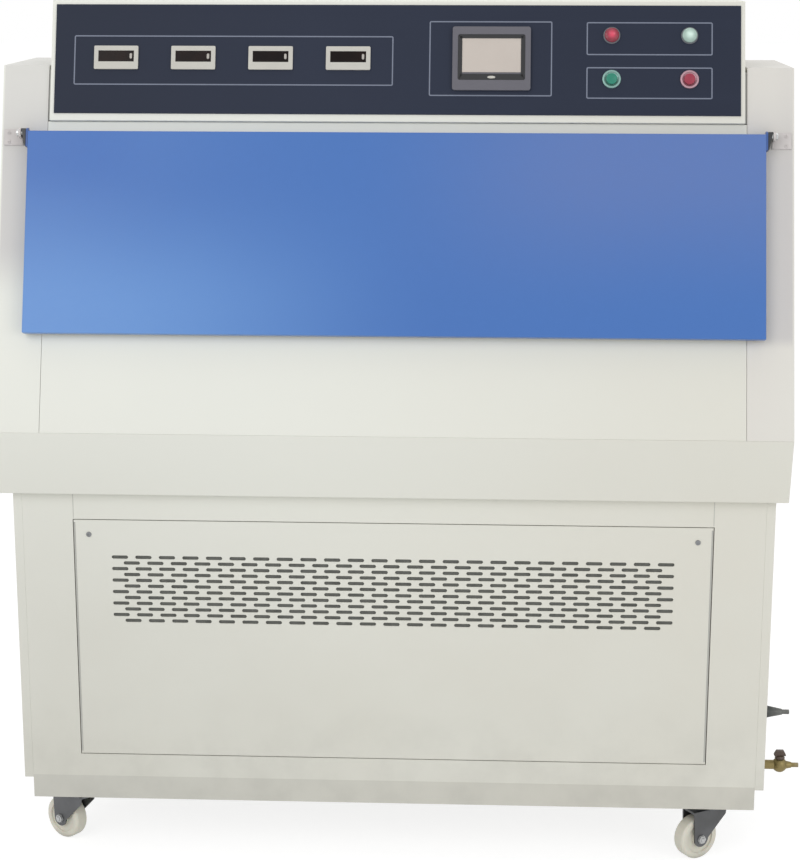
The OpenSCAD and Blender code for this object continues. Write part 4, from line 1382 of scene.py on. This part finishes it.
@dataclass
class ControlTrim(Assembly):
    """Outline frames, lamps, buttons, rings and screen details of the control plate.

    An outline frame is given by its left and right edges from the plate's left edge, and
    its top and bottom edges from the plate's top edge.
    """

    left: float = -0.563
    top: float = 0.712
    line: float = 0.0020
    ink: float = 0.00018
    corner: float = 0.0030
    frames: tuple[tuple[float, float, float, float], ...] = (
        (0.0315, 0.559, 0.0525, 0.1355),
        (0.618, 0.819, 0.027, 0.152),
        (0.875, 1.080, 0.028, 0.083),
        (0.875, 1.080, 0.103, 0.1555),
    )
    button_s: float = 0.589
    button_ring: Outline = (
        (0.0110, -0.030), (0.0110, 0.0), (0.0155, 0.0), (0.0155, 0.0012),
        (0.0148, 0.0023), (0.0138, 0.0025), (0.0120, 0.0025), (0.0110, 0.0018),
        (0.0094, 0.0016), (0.0094, -0.026),
    )
    lamp_ring: Outline = (
        (0.0110, -0.030), (0.0110, 0.0), (0.0140, 0.0), (0.0140, 0.0009),
        (0.0134, 0.0015), (0.0094, 0.0015), (0.0094, -0.026),
    )
    lens_foot: Outline = (
        (0.008, -0.015), (0.008, 0.0015), (0.0120, 0.0015), (0.0120, 0.0040),
    )
    lens_radius: float = 0.0115
    lens_ribs: int = 11
    rib_pitch: float = 0.001
    rib_width: float = 0.0003
    rib_depth: float = 0.0004
    dome_radius: float = 0.018
    dome_sink: float = -0.009
    cap: Outline = (
        (0.0090, -0.0120), (0.0090, 0.0050), (0.0087, 0.0057), (0.0080, 0.0060),
        (0.0070, 0.0059), (0.0045, 0.0053), (0.0010, 0.0050),
    )
    liner_size: tuple[float, float, float, float, float] = (
        0.1096, 0.0756, 0.003, 0.00402, 0.0046
    )
    liner_rise: float = 0.002
    liner_rim: float = 0.0068
    liner_squeeze: tuple[float, float] = (0.955, 0.0398)
    # Outline of the pale oval that stands in for a highlight under the screen.
    light: Outline = (
        (0.0022, 0.004), (0.0022, 0.0050), (0.0018, 0.0054), (0.0006, 0.0055),
    )
    highlight_stretch: float = 3.0
    highlight_y: float = -0.0315

    def build(self) -> None:
        """Makes all of the trim."""
        self.outlines()
        self.rings()
        self.lenses()
        self.caps()
        self.screen()

    def on_plate(self, x: float, s: float) -> Matrix:
        """Place on the control plate."""
        return on_face(x, s, PLATE_N, Face.FRONT)

    def outlines(self) -> None:
        """Thin printed frames round the groups of controls."""
        for number, (u0, u1, v0, v1) in enumerate(self.frames, 1):
            name = f"outline_frame_{number}"
            piece = Bench.slab(name, u1 - u0, v1 - v0, self.corner, 0.0, self.ink)
            Bench.hollow(piece, 2, self.line)
            place = self.on_plate(self.left + (u0 + u1) / 2, self.top - (v0 + v1) / 2)
            self.shop.fit(piece, "outline_ink", "counter_grey", place=place)

    def rings(self) -> None:
        """Polished sleeves that the lamps and buttons sit in."""
        low = Bench.turned("button_ring", self.button_ring)
        low = Bench.copies(low, [self.on_plate(x, self.button_s) for x in LAMP_X])
        high = Bench.turned("lamp_ring", self.lamp_ring)
        high = Bench.copies(high, [self.on_plate(x, LAMP_S) for x in LAMP_X])
        self.shop.fit(high, "dark_chrome", "chrome_ring")
        self.shop.fit(low, "chrome_ring", "chrome_ring", replaces=("button_rings",))

    def lenses(self) -> None:
        """Ribbed domes of the two pilot lamps."""
        dome = list(self.lens_foot)
        for rib in range(self.lens_ribs):
            radius = self.lens_radius - rib * self.rib_pitch
            crown = self.dome_sink + math.sqrt(self.dome_radius**2 - radius**2)
            dome += [(radius + self.rib_width, crown - self.rib_depth), (radius, crown)]
        for x, name in zip(LAMP_X, ("red", "white")):
            piece = Bench.turned(f"{name}_lens_dome", dome)
            lens, place = f"{name}_lens", self.on_plate(x, LAMP_S)
            self.shop.fit(piece, lens, lens, replaces=(f"{name}_lamp",), place=place)

    def caps(self) -> None:
        """Dished caps of the two push buttons."""
        for x, name in zip(LAMP_X, ("green", "red")):
            piece = Bench.turned(f"{name}_button_cap", self.cap)
            button, finish = f"{name}_button", f"{name}_cap"
            place = self.on_plate(x, self.button_s)
            self.shop.fit(piece, finish, finish, button, (button,), place)

    def screen(self) -> None:
        """Black inner frame of the touch screen, and the small pale oval under it, whose
        pale grey stands in for a highlight there.
        """
        centre = self.on_plate(SCREEN_X, PANEL_S)
        liner = Bench.slab("screen_inner_frame", *self.liner_size)
        Bench.settle(liner, liner.name, Matrix.Translation((0, self.liner_rise, 0)))
        Bench.hollow(liner, 2, self.liner_rim, self.liner_squeeze)
        self.shop.fit(liner, "screen_black", "dark_plastic", place=centre)
        light = Bench.turned("screen_highlight_oval", self.light)
        light.scale = (self.highlight_stretch, 1.0, 1.0)
        Bench.settle(light, light.name)
        under = centre @ Matrix.Translation((0, self.highlight_y, 0))
        self.shop.fit(light, "counter_grey", "counter_grey", place=under)


@dataclass
class Fasteners(Assembly):
    """Cross-recess screws of the service panels, side covers and hinge brackets."""

    panel_x: float = 0.5065
    panel_z: float = 0.576
    panel_size: tuple[float, float, float] = (0.0045, 0.002, 0.016)
    cover_y: float = 0.235
    cover_z: tuple[float, ...] = (0.185, 0.395, 0.605)
    cover_size: tuple[float, float, float] = (0.004, 0.0018, 0.0015)
    bracket_x: float = 0.637
    bracket_s: tuple[float, ...] = (0.481, 0.497)
    bracket_n: float = 0.003
    bracket_size: tuple[float, float, float] = (0.003, 0.0014, 0.002)

    def build(self) -> None:
        """Makes the screws."""
        quarter = math.pi / 2
        places = [
            Matrix.Translation((i * self.panel_x, j * BASE_FRONT, self.panel_z))
            @ Matrix.Rotation(j * quarter, 4, "X")
            for i, j in product(SIDES, (1, -1))
        ]
        self.screws(
            "panel_screw_heads", self.panel_size, places, replaces=("panel_screws",)
        )
        places = [
            Matrix.Translation((i * COVER_X, j * self.cover_y, z))
            @ Matrix.Rotation(i * quarter, 4, "Y")
            for i, j, z in product(SIDES, SIDES, self.cover_z)
        ]
        self.screws("cover_screw_heads", self.cover_size, places)
        places = [
            on_face(i * self.bracket_x, s, self.bracket_n, side)
            for side, i, s in product(Face, SIDES, self.bracket_s)
        ]
        self.screws("bracket_screw_heads", self.bracket_size, places, "bracket_grey")


@dataclass
class Gaskets(Assembly):
    """Grey foam strips in the gaps between the control box and the cheeks; their mid grey
    also stands in for the shade that the box casts in those gaps.
    """

    reach_x: Step = (0.5703, 0.5737)
    reach_s: Step = (0.518, 0.604)
    reach_n: Step = (-0.010, -0.0012)
    rounding: float = 0.0008

    def build(self) -> None:
        """Makes the strip at each end."""
        for end, name in zip(SIDES, ("left", "right")):
            ends = sorted(x * end for x in self.reach_x)
            corners = zip(ends, self.reach_s, self.reach_n)
            strip = Bench.block(f"gasket_{name}", *corners)
            Bench.bevel(strip, self.rounding)
            face = on_face(0.0, 0.0, 0.0, Face.FRONT)
            self.shop.fit(strip, "gasket_shade_grey", "seal_rubber", place=face)


@dataclass
class DoorEnds(Assembly):
    """Dark gussets between a door's hinge arms and the lugs of its brackets; their dark
    colour also stands in for the shadow in the gap there.
    """

    inner_x: float = 0.6052
    outer_x: float = 0.6134
    foot_s: float = 0.471
    head_s: float = 0.500
    reach_n: Step = (0.0065, 0.0215)
    foot_share: float = 0.25
    nearly: float = 0.0001
    rounding: float = 0.0008

    def build(self) -> None:
        """Makes the gussets of both doors."""
        for (side, door), end in product(DOORS, SIDES):
            self.gusset(side, door, end)

    def gusset(self, side: Face, door: str, end: int) -> None:
        """Makes one gusset, tapered down the door's end.

        Args:
            side: The face that the door is on.
            door: Which door it is.
            end: -1 for the left end and 1 for the right one, facing the door.
        """
        ends = sorted((self.inner_x * end, self.outer_x * end))
        hand = "left" if end < 0 else "right"
        corners = zip(ends, (self.foot_s, self.head_s), self.reach_n)
        piece = Bench.block(f"{door}_gusset_{hand}", *corners)
        Bench.select_faces(
            piece, lambda middle, _: abs(middle.y - self.foot_s) < self.nearly
        )
        root = (self.inner_x * end, self.foot_s, 0)
        bpy.ops.transform.resize(value=(self.foot_share, 1, 1), center_override=root)
        bpy.ops.object.mode_set(mode="OBJECT")
        Bench.bevel(piece, self.rounding)
        face = on_face(0.0, 0.0, 0.0, side)
        # The dark gusset stands in for the shadow beside the door's corner.
        self.shop.fit(piece, "dark_plastic", "dark_plastic", f"{door}_door", place=face)


@dataclass
class AirFilters(Assembly):
    """Filter mats in thin frames, held behind the slots of both service panels; the mats'
    dark grey also stands in for the shade seen through the slots.
    """

    half_width: float = 0.490
    reach_z: Step = (0.404, 0.556)
    mat_y: Step = (-0.2535, -0.2626)
    frame_y: Step = (-0.2527, -0.2628)
    overhang: float = 0.001
    rim: float = 0.006
    rounding: float = 0.0015

    def build(self) -> None:
        """Makes the mats and their frames."""
        for turn, name in ((1, "front"), (-1, "rear")):
            mat = self.sheet(f"filter_mat_{name}", turn, self.mat_y, 0.0)
            Bench.bevel(mat, self.rounding)
            self.shop.fit(mat, "filter_felt", "device_grey")
            edge = self.sheet(f"filter_frame_{name}", turn, self.frame_y, self.overhang)
            Bench.hollow(edge, 1, self.rim)
            self.shop.fit(edge, "galvanised", "galvanised")

    def sheet(self, name: str, turn: int, reach_y: Step, extra: float) -> bpy.types.Object:
        """Makes a flat block behind a panel's slots.

        Args:
            name: Its name.
            turn: 1 at the front and -1 at the rear.
            reach_y: Its two faces, at the front.
            extra: How much it is larger than the mat, all round.

        Returns:
            The block.
        """
        wide, (low_z, high_z) = self.half_width + extra, self.reach_z
        near, far = sorted(y * turn for y in reach_y)
        return Bench.block(name, (-wide, near, low_z - extra), (wide, far, high_z + extra))


@dataclass
class CasterBolts(Assembly):
    """Hex bolts that hold the caster plates to the base."""

    plate_z: float = 0.101
    spread_x: float = 0.032
    spread_y: float = 0.023
    bolt: Outline = ((0.0062, 0.0), (0.0062, 0.0036), (0.0054, 0.0042), (0.002, 0.0042))

    def build(self) -> None:
        """Makes the sixteen bolts."""
        down = Matrix.Rotation(math.pi, 4, "X")
        places = []
        for i, j, a, b in product(SIDES, repeat=4):
            x, y = i * CASTER_X + a * self.spread_x, j * CASTER_Y + b * self.spread_y
            places.append(Matrix.Translation((x, y, self.plate_z)) @ down)
        bolts = Bench.copies(Bench.turned("caster_bolts", self.bolt, 6), places)
        self.shop.fit(bolts, "screw_zinc", "zinc")


@dataclass
class PanelSeams(Assembly):
    """Edge trim down the sides of both service panels, and the seams over them; their grey
    also stands in for the shade in those gaps and seams.
    """

    trim_x: Step = (0.5287, 0.5313)
    trim_z: Step = (0.190, 0.597)
    seam_x: Step = (0.5308, 0.5322)
    seam_z: Step = (0.6045, 0.6485)
    proud: float = 0.0003
    rounding: float = 0.0001

    def build(self) -> None:
        """Makes the trim and the seams."""
        trim = self.strips("panel_edge_trim", self.trim_x, self.trim_z)
        self.shop.fit(trim, "trim_shade_grey", "seal_rubber")
        seams = self.strips("frame_seams", self.seam_x, self.seam_z)
        self.shop.fit(seams, "seam_shade_grey", "powder_coat")

    def strips(self, name: str, reach_x: Step, reach_z: Step) -> bpy.types.Object:
        """Makes a strip at each end of both faces of the base, and joins the four.

        Args:
            name: Name of the joined piece.
            reach_x: The right strip's two edges.
            reach_z: Height of its foot and of its head.

        Returns:
            The joined piece.
        """
        corners = zip(reach_x, (-self.proud, self.proud), reach_z)
        strip = Bench.block(name, *corners)
        Bench.bevel(strip, self.rounding)
        to_left = Matrix.Translation((-sum(reach_x), 0.0, 0.0))
        front = Matrix.Translation((0.0, BASE_FRONT, 0.0))
        half_turn = Matrix.Rotation(math.pi, 4, "Z")
        back = Matrix.Translation((0.0, -BASE_FRONT, 0.0)) @ half_turn
        return Bench.copies(strip, [front, front @ to_left, back, back @ to_left])


@dataclass
class BoxBack(Assembly):
    """Pressed louvres and screws on the sloping back of the control box."""

    foot: tuple[float, float, float] = (0.0, 0.1190, 1.3410)
    head: tuple[float, float, float] = (0.0, 0.0600, 1.4466)
    louvre: tuple[float, float, float] = (0.064, 0.0080, 0.0036)
    sunk: float = 0.0002
    crest: tuple[float, float, float] = (0.86, 0.16, 1.0)
    crest_rise: float = 0.0006
    rounding: float = 0.0007
    group_x: float = 0.36
    column_x: float = 0.082
    columns: Step = (-0.5, 0.5)
    rows: tuple[float, ...] = (0.30, 0.43, 0.56, 0.69)
    screw_x: float = 0.27
    screw_columns: tuple[int, ...] = (-2, -1, 0, 1, 2)
    screw_rows: Step = (0.10, 0.90)
    screw_size: tuple[float, float, float] = (0.0036, 0.0016, 0.0012)

    def place(self, x: float, rise: float) -> Matrix:
        """Gives a place on the back.

        Args:
            x: Place along X.
            rise: Way up the slope, 0 at its foot and 1 at its head.

        Returns:
            The place, with Z out of the back and Y up the slope.
        """
        foot, head = Vector(self.foot), Vector(self.head)
        up = (head - foot).normalized()
        left = Vector((-1.0, 0.0, 0.0))
        spot = foot.lerp(head, rise) + Vector((x, 0.0, 0.0))
        return Matrix.Translation(spot) @ basis(left, up, left.cross(up))

    def build(self) -> None:
        """Makes the louvres and the screws."""
        width, height, depth = self.louvre
        low, high = (-width / 2, -height / 2, -self.sunk), (width / 2, height / 2, depth)
        louvre = Bench.block("box_louvres", low, high)
        Bench.select_faces(louvre, lambda _, normal: normal.z > Bench.FLAT_ON)
        middle = (0, -height / 2 + self.crest_rise, depth)
        bpy.ops.transform.resize(value=self.crest, center_override=middle)
        bpy.ops.object.mode_set(mode="OBJECT")
        Bench.bevel(louvre, self.rounding)
        places = [
            self.place(column * self.column_x + group * self.group_x, rise)
            for group, column, rise in product(SIDES, self.columns, self.rows)
        ]
        self.shop.fit(Bench.copies(louvre, places), "powder_coat", "powder_coat")
        places = [
            self.place(column * self.screw_x, rise)
            for column, rise in product(self.screw_columns, self.screw_rows)
        ]
        self.screws("box_screw_heads", self.screw_size, places)


@dataclass
class MainsTrim(Assembly):
    """Small parts of the isolator and the gland, and the earth stud beside them."""

    face_x: float = -0.660
    wall_x: float = -0.632
    y: float = 0.110
    isolator_z: float = 0.500
    gland_z: float = 0.240
    stud_y: float = 0.165
    screw_spread: float = 0.0262
    screw_size: tuple[float, float, float] = (0.0026, 0.0010, 0.0010)
    mark_reach: float = 0.0286
    mark_on: Spans = ((-0.0006, 0.0006), (-0.0020, 0.0020), (0.0, 0.0004))
    mark_off: Outline = (
        (0.0022, 0.0), (0.0022, 0.0004), (0.0015, 0.0004), (0.0015, 0.0001),
    )
    pointer: Spans = ((-0.0008, 0.0008), (0.0150, 0.0222), (0.0383, 0.0396))
    pointer_rise: float = 0.0003
    rounding: float = 0.0001
    nut: Outline = (
        (0.0112, 0.0120), (0.0132, 0.0120), (0.0134, 0.0130), (0.0134, 0.0220),
        (0.0122, 0.0262), (0.0100, 0.0288), (0.0078, 0.0288), (0.0074, 0.0280),
    )
    seal: Outline = (
        (0.0072, 0.0282), (0.0072, 0.0292), (0.0060, 0.0296), (0.0030, 0.0290),
    )
    stud_rod: Outline = (
        (0.0032, 0.0), (0.0032, 0.0160), (0.0026, 0.0168), (0.0010, 0.0168),
    )
    stud_washer: Outline = ((0.0075, 0.0), (0.0075, 0.0012), (0.004, 0.0013))
    stud_nuts: tuple[Outline, ...] = (
        ((0.0062, 0.0013), (0.0065, 0.0017), (0.0065, 0.0052), (0.0055, 0.0058)),
        ((0.0055, 0.0068), (0.0065, 0.0072), (0.0065, 0.0108), (0.0055, 0.0114)),
    )

    def place(self, x: float, y: float, z: float) -> Matrix:
        """Gives a place on the left side, with Z out of it and Y up."""
        out, up = Vector((-1.0, 0.0, 0.0)), Vector((0.0, 0.0, 1.0))
        return Matrix.Translation((x, y, z)) @ basis(up.cross(out), up, out)

    def build(self) -> None:
        """Makes all of the parts."""
        self.marks()
        places = [
            self.place(
                self.face_x,
                self.y + i * self.screw_spread,
                self.isolator_z + j * self.screw_spread,
            )
            for i, j in product(SIDES, SIDES)
        ]
        self.screws("isolator_screw_heads", self.screw_size, places)
        self.gland()
        self.stud()

    def marks(self) -> None:
        """Raised I and O marks beside the knob, and the knob's pointer."""
        bar = Bench.block("mark_on", *zip(*self.mark_on))
        Bench.bevel(bar, self.rounding)
        place = self.place(self.face_x, self.y, self.isolator_z + self.mark_reach)
        self.shop.fit(bar, "white_key", "dark_plastic", place=place)
        ring = Bench.turned("mark_off", self.mark_off, 28)
        place = self.place(self.face_x, self.y - self.mark_reach, self.isolator_z)
        self.shop.fit(ring, "white_key", "dark_plastic", place=place)
        pointer = Bench.block("knob_pointer", *zip(*self.pointer))
        Bench.bevel(pointer, self.rounding)
        place = self.place(self.face_x - self.pointer_rise, self.y, self.isolator_z)
        self.shop.fit(pointer, "white_key", "dark_plastic", "isolator_knob", place=place)

    def gland(self) -> None:
        """Ribbed dome nut of the cable gland, with the rubber seal in its mouth."""
        place = self.place(self.wall_x, self.y, self.gland_z)
        nut = Bench.turned("gland_nut", self.nut, 12)
        self.shop.fit(nut, "dark_plastic", "dark_plastic", place=place)
        seal = Bench.turned("gland_seal", self.seal)
        self.shop.fit(seal, "seal_rubber", "seal_rubber", place=place)

    def stud(self) -> None:
        """Earth stud with its washer and its two nuts."""
        stack = Bench.turned("earth_stud", self.stud_rod, 24)
        others = [Bench.turned("earth_washer", self.stud_washer)]
        others += [Bench.turned("earth_nut", steps, 6) for steps in self.stud_nuts]
        Bench.join([stack, *others])
        place = self.place(self.wall_x, self.stud_y, self.gland_z)
        self.shop.fit(stack, "bolt_zinc", "zinc", place=place)


@dataclass
class LiningRivets(Assembly):
    """Flat rivets that hold the inner skins to the doors."""

    pitch: float = 0.1425
    columns: tuple[int, ...] = (-3, -2, -1, 0, 1, 2, 3)
    rows_s: Step = (0.222, 0.442)
    skin_n: float = 0.0060
    rivet: Outline = (
        (0.0034, -0.0002), (0.0034, 0.0004), (0.0026, 0.0009), (0.0008, 0.0011),
    )

    def build(self) -> None:
        """Makes the rivets of both doors."""
        inward = Matrix.Rotation(math.pi, 4, "X")
        for side, door in DOORS:
            rivet = Bench.turned(f"{door}_rivets", self.rivet, 20)
            places = [
                on_face(column * self.pitch, s, self.skin_n, side) @ inward
                for column, s in product(self.columns, self.rows_s)
            ]
            rivets = Bench.copies(rivet, places)
            self.shop.fit(rivets, "aluminium", "aluminium", f"{door}_door")


@dataclass
class AxleNuts(Assembly):
    """Bright cap nuts on both ends of every caster's axle."""

    trail: float = 0.032
    axle_z: float = 0.0375
    headings: tuple[tuple[str, int, int, float], ...] = (
        ("front_left", -1, -1, 146.0),
        ("front_right", 1, -1, 212.0),
        ("rear_left", -1, 1, 75.0),
        ("rear_right", 1, 1, 120.0),
    )
    nut: Outline = (
        (0.0082, 0.0178), (0.0082, 0.0186), (0.0074, 0.0187), (0.0074, 0.0215),
        (0.0064, 0.0222), (0.0046, 0.0223), (0.0044, 0.0236), (0.0032, 0.0246),
        (0.0010, 0.0250),
    )

    def build(self) -> None:
        """Makes a pair of nuts for each fork."""
        for corner, i, j, heading in self.headings:
            nut = Bench.turned(f"axle_nuts_{corner}", self.nut, 6)
            turn = math.radians(heading)
            along = Vector((math.cos(turn), math.sin(turn), 0.0))
            hub = Vector((i * CASTER_X, j * CASTER_Y, self.axle_z)) + along * self.trail
            places = []
            for side in SIDES:
                axis = Vector((-math.sin(turn), math.cos(turn), 0.0)) * side
                turned = basis(along.cross(axis), along, axis)
                places.append(Matrix.Translation(hub) @ turned)
            self.shop.fit(Bench.copies(nut, places), "bolt_zinc", "zinc", f"fork_{corner}")


@dataclass
class ValveSkirt(Assembly):
    """Moulded skirt under the drain valve's handle, round the neck of the valve."""

    foot: tuple[float, float, float] = (0.668, -0.190, 0.1690)
    rise: float = 0.0051

    def build(self) -> None:
        """Makes the skirt."""
        rise = self.rise
        steps = [
            (0.0065, 0.0), (0.0084, 0.0), (0.0088, 0.0012), (0.0080, rise * 0.55),
            (0.0076, rise), (0.0066, rise), (0.0064, rise - 0.0004), (0.0064, 0.0004),
            (0.0065, 0.0),
        ]
        skirt = Bench.turned("lever_skirt", steps, 32)
        lever, place = "drain_lever", Matrix.Translation(self.foot)
        self.shop.fit(skirt, "brown_lever", "brown_lever", lever, place=place)


@dataclass
class Studio:
    """Pale floor, soft lamps, white surroundings and the camera of the photograph.

    A lamp is given by its name, its place, what it points at, its side and its watts.
    """

    camera_place: tuple[float, float, float] = (0.1613, -3.5346, 1.5326)
    yaw: float = -0.04501
    pitch: float = 0.23144
    roll: float = 0.00112
    lens: float = 85.83
    sensor: float = 36.0
    clip: Step = (0.1, 50.0)
    ambient: float = 0.64
    floor_size: float = 60.0
    floor_glow: float = 1.30
    floor_share: float = 0.62
    paper: tuple[Colour, Colour] = ((0.86, 0.86, 0.86), (0.90, 0.90, 0.90))
    lamps: tuple[tuple[str, Colour, Colour, float, float], ...] = (
        ("key_lamp", (-2.3, -3.5, 3.1), (0.0, 0.0, 0.80), 2.6, 51.5),
        ("fill_lamp", (3.2, -3.0, 1.8), (0.0, 0.0, 0.70), 2.2, 30.0),
        ("top_lamp", (0.0, 0.6, 4.2), (0.0, 0.0, 0.90), 2.8, 30.0),
    )
    seen_rays: tuple[str, ...] = ("Is Camera Ray", "Is Glossy Ray", "Is Transmission Ray")

    def build(self) -> None:
        """Sets up the whole studio."""
        self.camera()
        self.floor()
        self.surroundings()
        for name, place, target, size, power in self.lamps:
            self.lamp(name, Vector(place), Vector(target), size, power)

    def camera(self) -> None:
        """Makes the camera and puts it where the photograph was taken from."""
        level = math.cos(self.pitch)
        forward = Vector(
            (math.sin(self.yaw) * level, math.cos(self.yaw) * level, -math.sin(self.pitch))
        )
        Bench.clear()
        bpy.ops.object.camera_add(location=self.camera_place)
        camera = bpy.context.object
        camera.name = "camera"
        camera.data.sensor_width = self.sensor
        camera.data.lens = self.lens
        camera.data.clip_start, camera.data.clip_end = self.clip
        turn = forward.to_track_quat("-Z", "Y").to_matrix().to_4x4()
        turn = turn @ Matrix.Rotation(self.roll, 4, "Z")
        camera.matrix_world = Matrix.Translation(Vector(self.camera_place)) @ turn
        bpy.context.scene.camera = camera

    def lamp(
        self, name: str, place: Vector, target: Vector, size: float, power: float
    ) -> None:
        """Adds one soft lamp.

        Args:
            name: Its name.
            place: Where it stands.
            target: What it points at.
            size: Side of its square face.
            power: Its power in watts.
        """
        Bench.clear()
        bpy.ops.object.light_add(type="AREA", location=place)
        lamp = bpy.context.object
        lamp.name = name
        lamp.data.size = size
        lamp.data.energy = power
        lamp.rotation_euler = (target - place).to_track_quat("-Z", "Y").to_euler()

    def floor(self) -> None:
        """Pale floor that shows white to the camera and keeps the shadow."""
        Bench.clear()
        bpy.ops.mesh.primitive_plane_add(size=self.floor_size)
        floor = bpy.context.object
        floor.name = "floor"
        shader = Shader("floor_paper", Roughness=0.9, Specular_IOR_Level=0.1)
        shader.colour(shader.mix(shader.noise(40.0, 3.0), *self.paper))
        rays = shader.add("ShaderNodeLightPath").socket.node.outputs
        camera, glossy, through = (Wire(shader, rays[name]) for name in self.seen_rays)
        seen = camera + glossy + through
        glow = {"Color": (1.0, 1.0, 1.0), "Strength": self.floor_glow}
        sockets = {
            0: seen.math("MINIMUM", seen, 1.0) * self.floor_share,
            1: Wire(shader, shader.surface.outputs[0]),
            2: shader.add("ShaderNodeEmission", None, glow),
        }
        both = shader.add("ShaderNodeMixShader", None, sockets)
        shader.tree.links.new(both.socket, shader.output.inputs["Surface"])
        floor.data.materials.append(shader.material)

    def surroundings(self) -> None:
        """White surroundings to the camera, and even soft light to the object."""
        world = bpy.data.worlds.new("surroundings")
        bpy.context.scene.world = world
        world.use_nodes = True
        tree = world.node_tree
        tree.nodes.clear()
        both = tree.nodes.new("ShaderNodeMixShader")
        path = tree.nodes.new("ShaderNodeLightPath")
        camera, glossy, through = (path.outputs[name] for name in self.seen_rays)
        seen = camera
        for ray in (glossy, through):
            either = tree.nodes.new("ShaderNodeMath")
            either.operation = "MAXIMUM"
            tree.links.new(seen, either.inputs[0])
            tree.links.new(ray, either.inputs[1])
            seen = either.outputs[0]
        tree.links.new(seen, both.inputs[0])
        for place, strength in enumerate((self.ambient, 1.0), 1):
            light = tree.nodes.new("ShaderNodeBackground")
            light.inputs["Color"].default_value = (1.0, 1.0, 1.0, 1.0)
            light.inputs["Strength"].default_value = strength
            tree.links.new(light.outputs[0], both.inputs[place])
        output = tree.nodes.new("ShaderNodeOutputWorld")
        tree.links.new(both.outputs[0], output.inputs["Surface"])


def main() -> None:
    """Builds the studio and every sub-assembly in order."""
    logging.basicConfig(level=logging.INFO, format="%(message)s")
    bpy.context.scene.view_settings.view_transform = "Standard"
    Studio().build()
    shop = Paintshop()
    PackedParts(shop).build()
    Sheetwork(shop).build()
    ControlTrim(shop).build()
    Fasteners(shop).build()
    Gaskets(shop).build()
    DoorEnds(shop).build()
    AirFilters(shop).build()
    CasterBolts(shop).build()
    PanelSeams(shop).build()
    BoxBack(shop).build()
    MainsTrim(shop).build()
    LiningRivets(shop).build()
    AxleNuts(shop).build()
    ValveSkirt(shop).build()


if __name__ == "__main__":
    main()
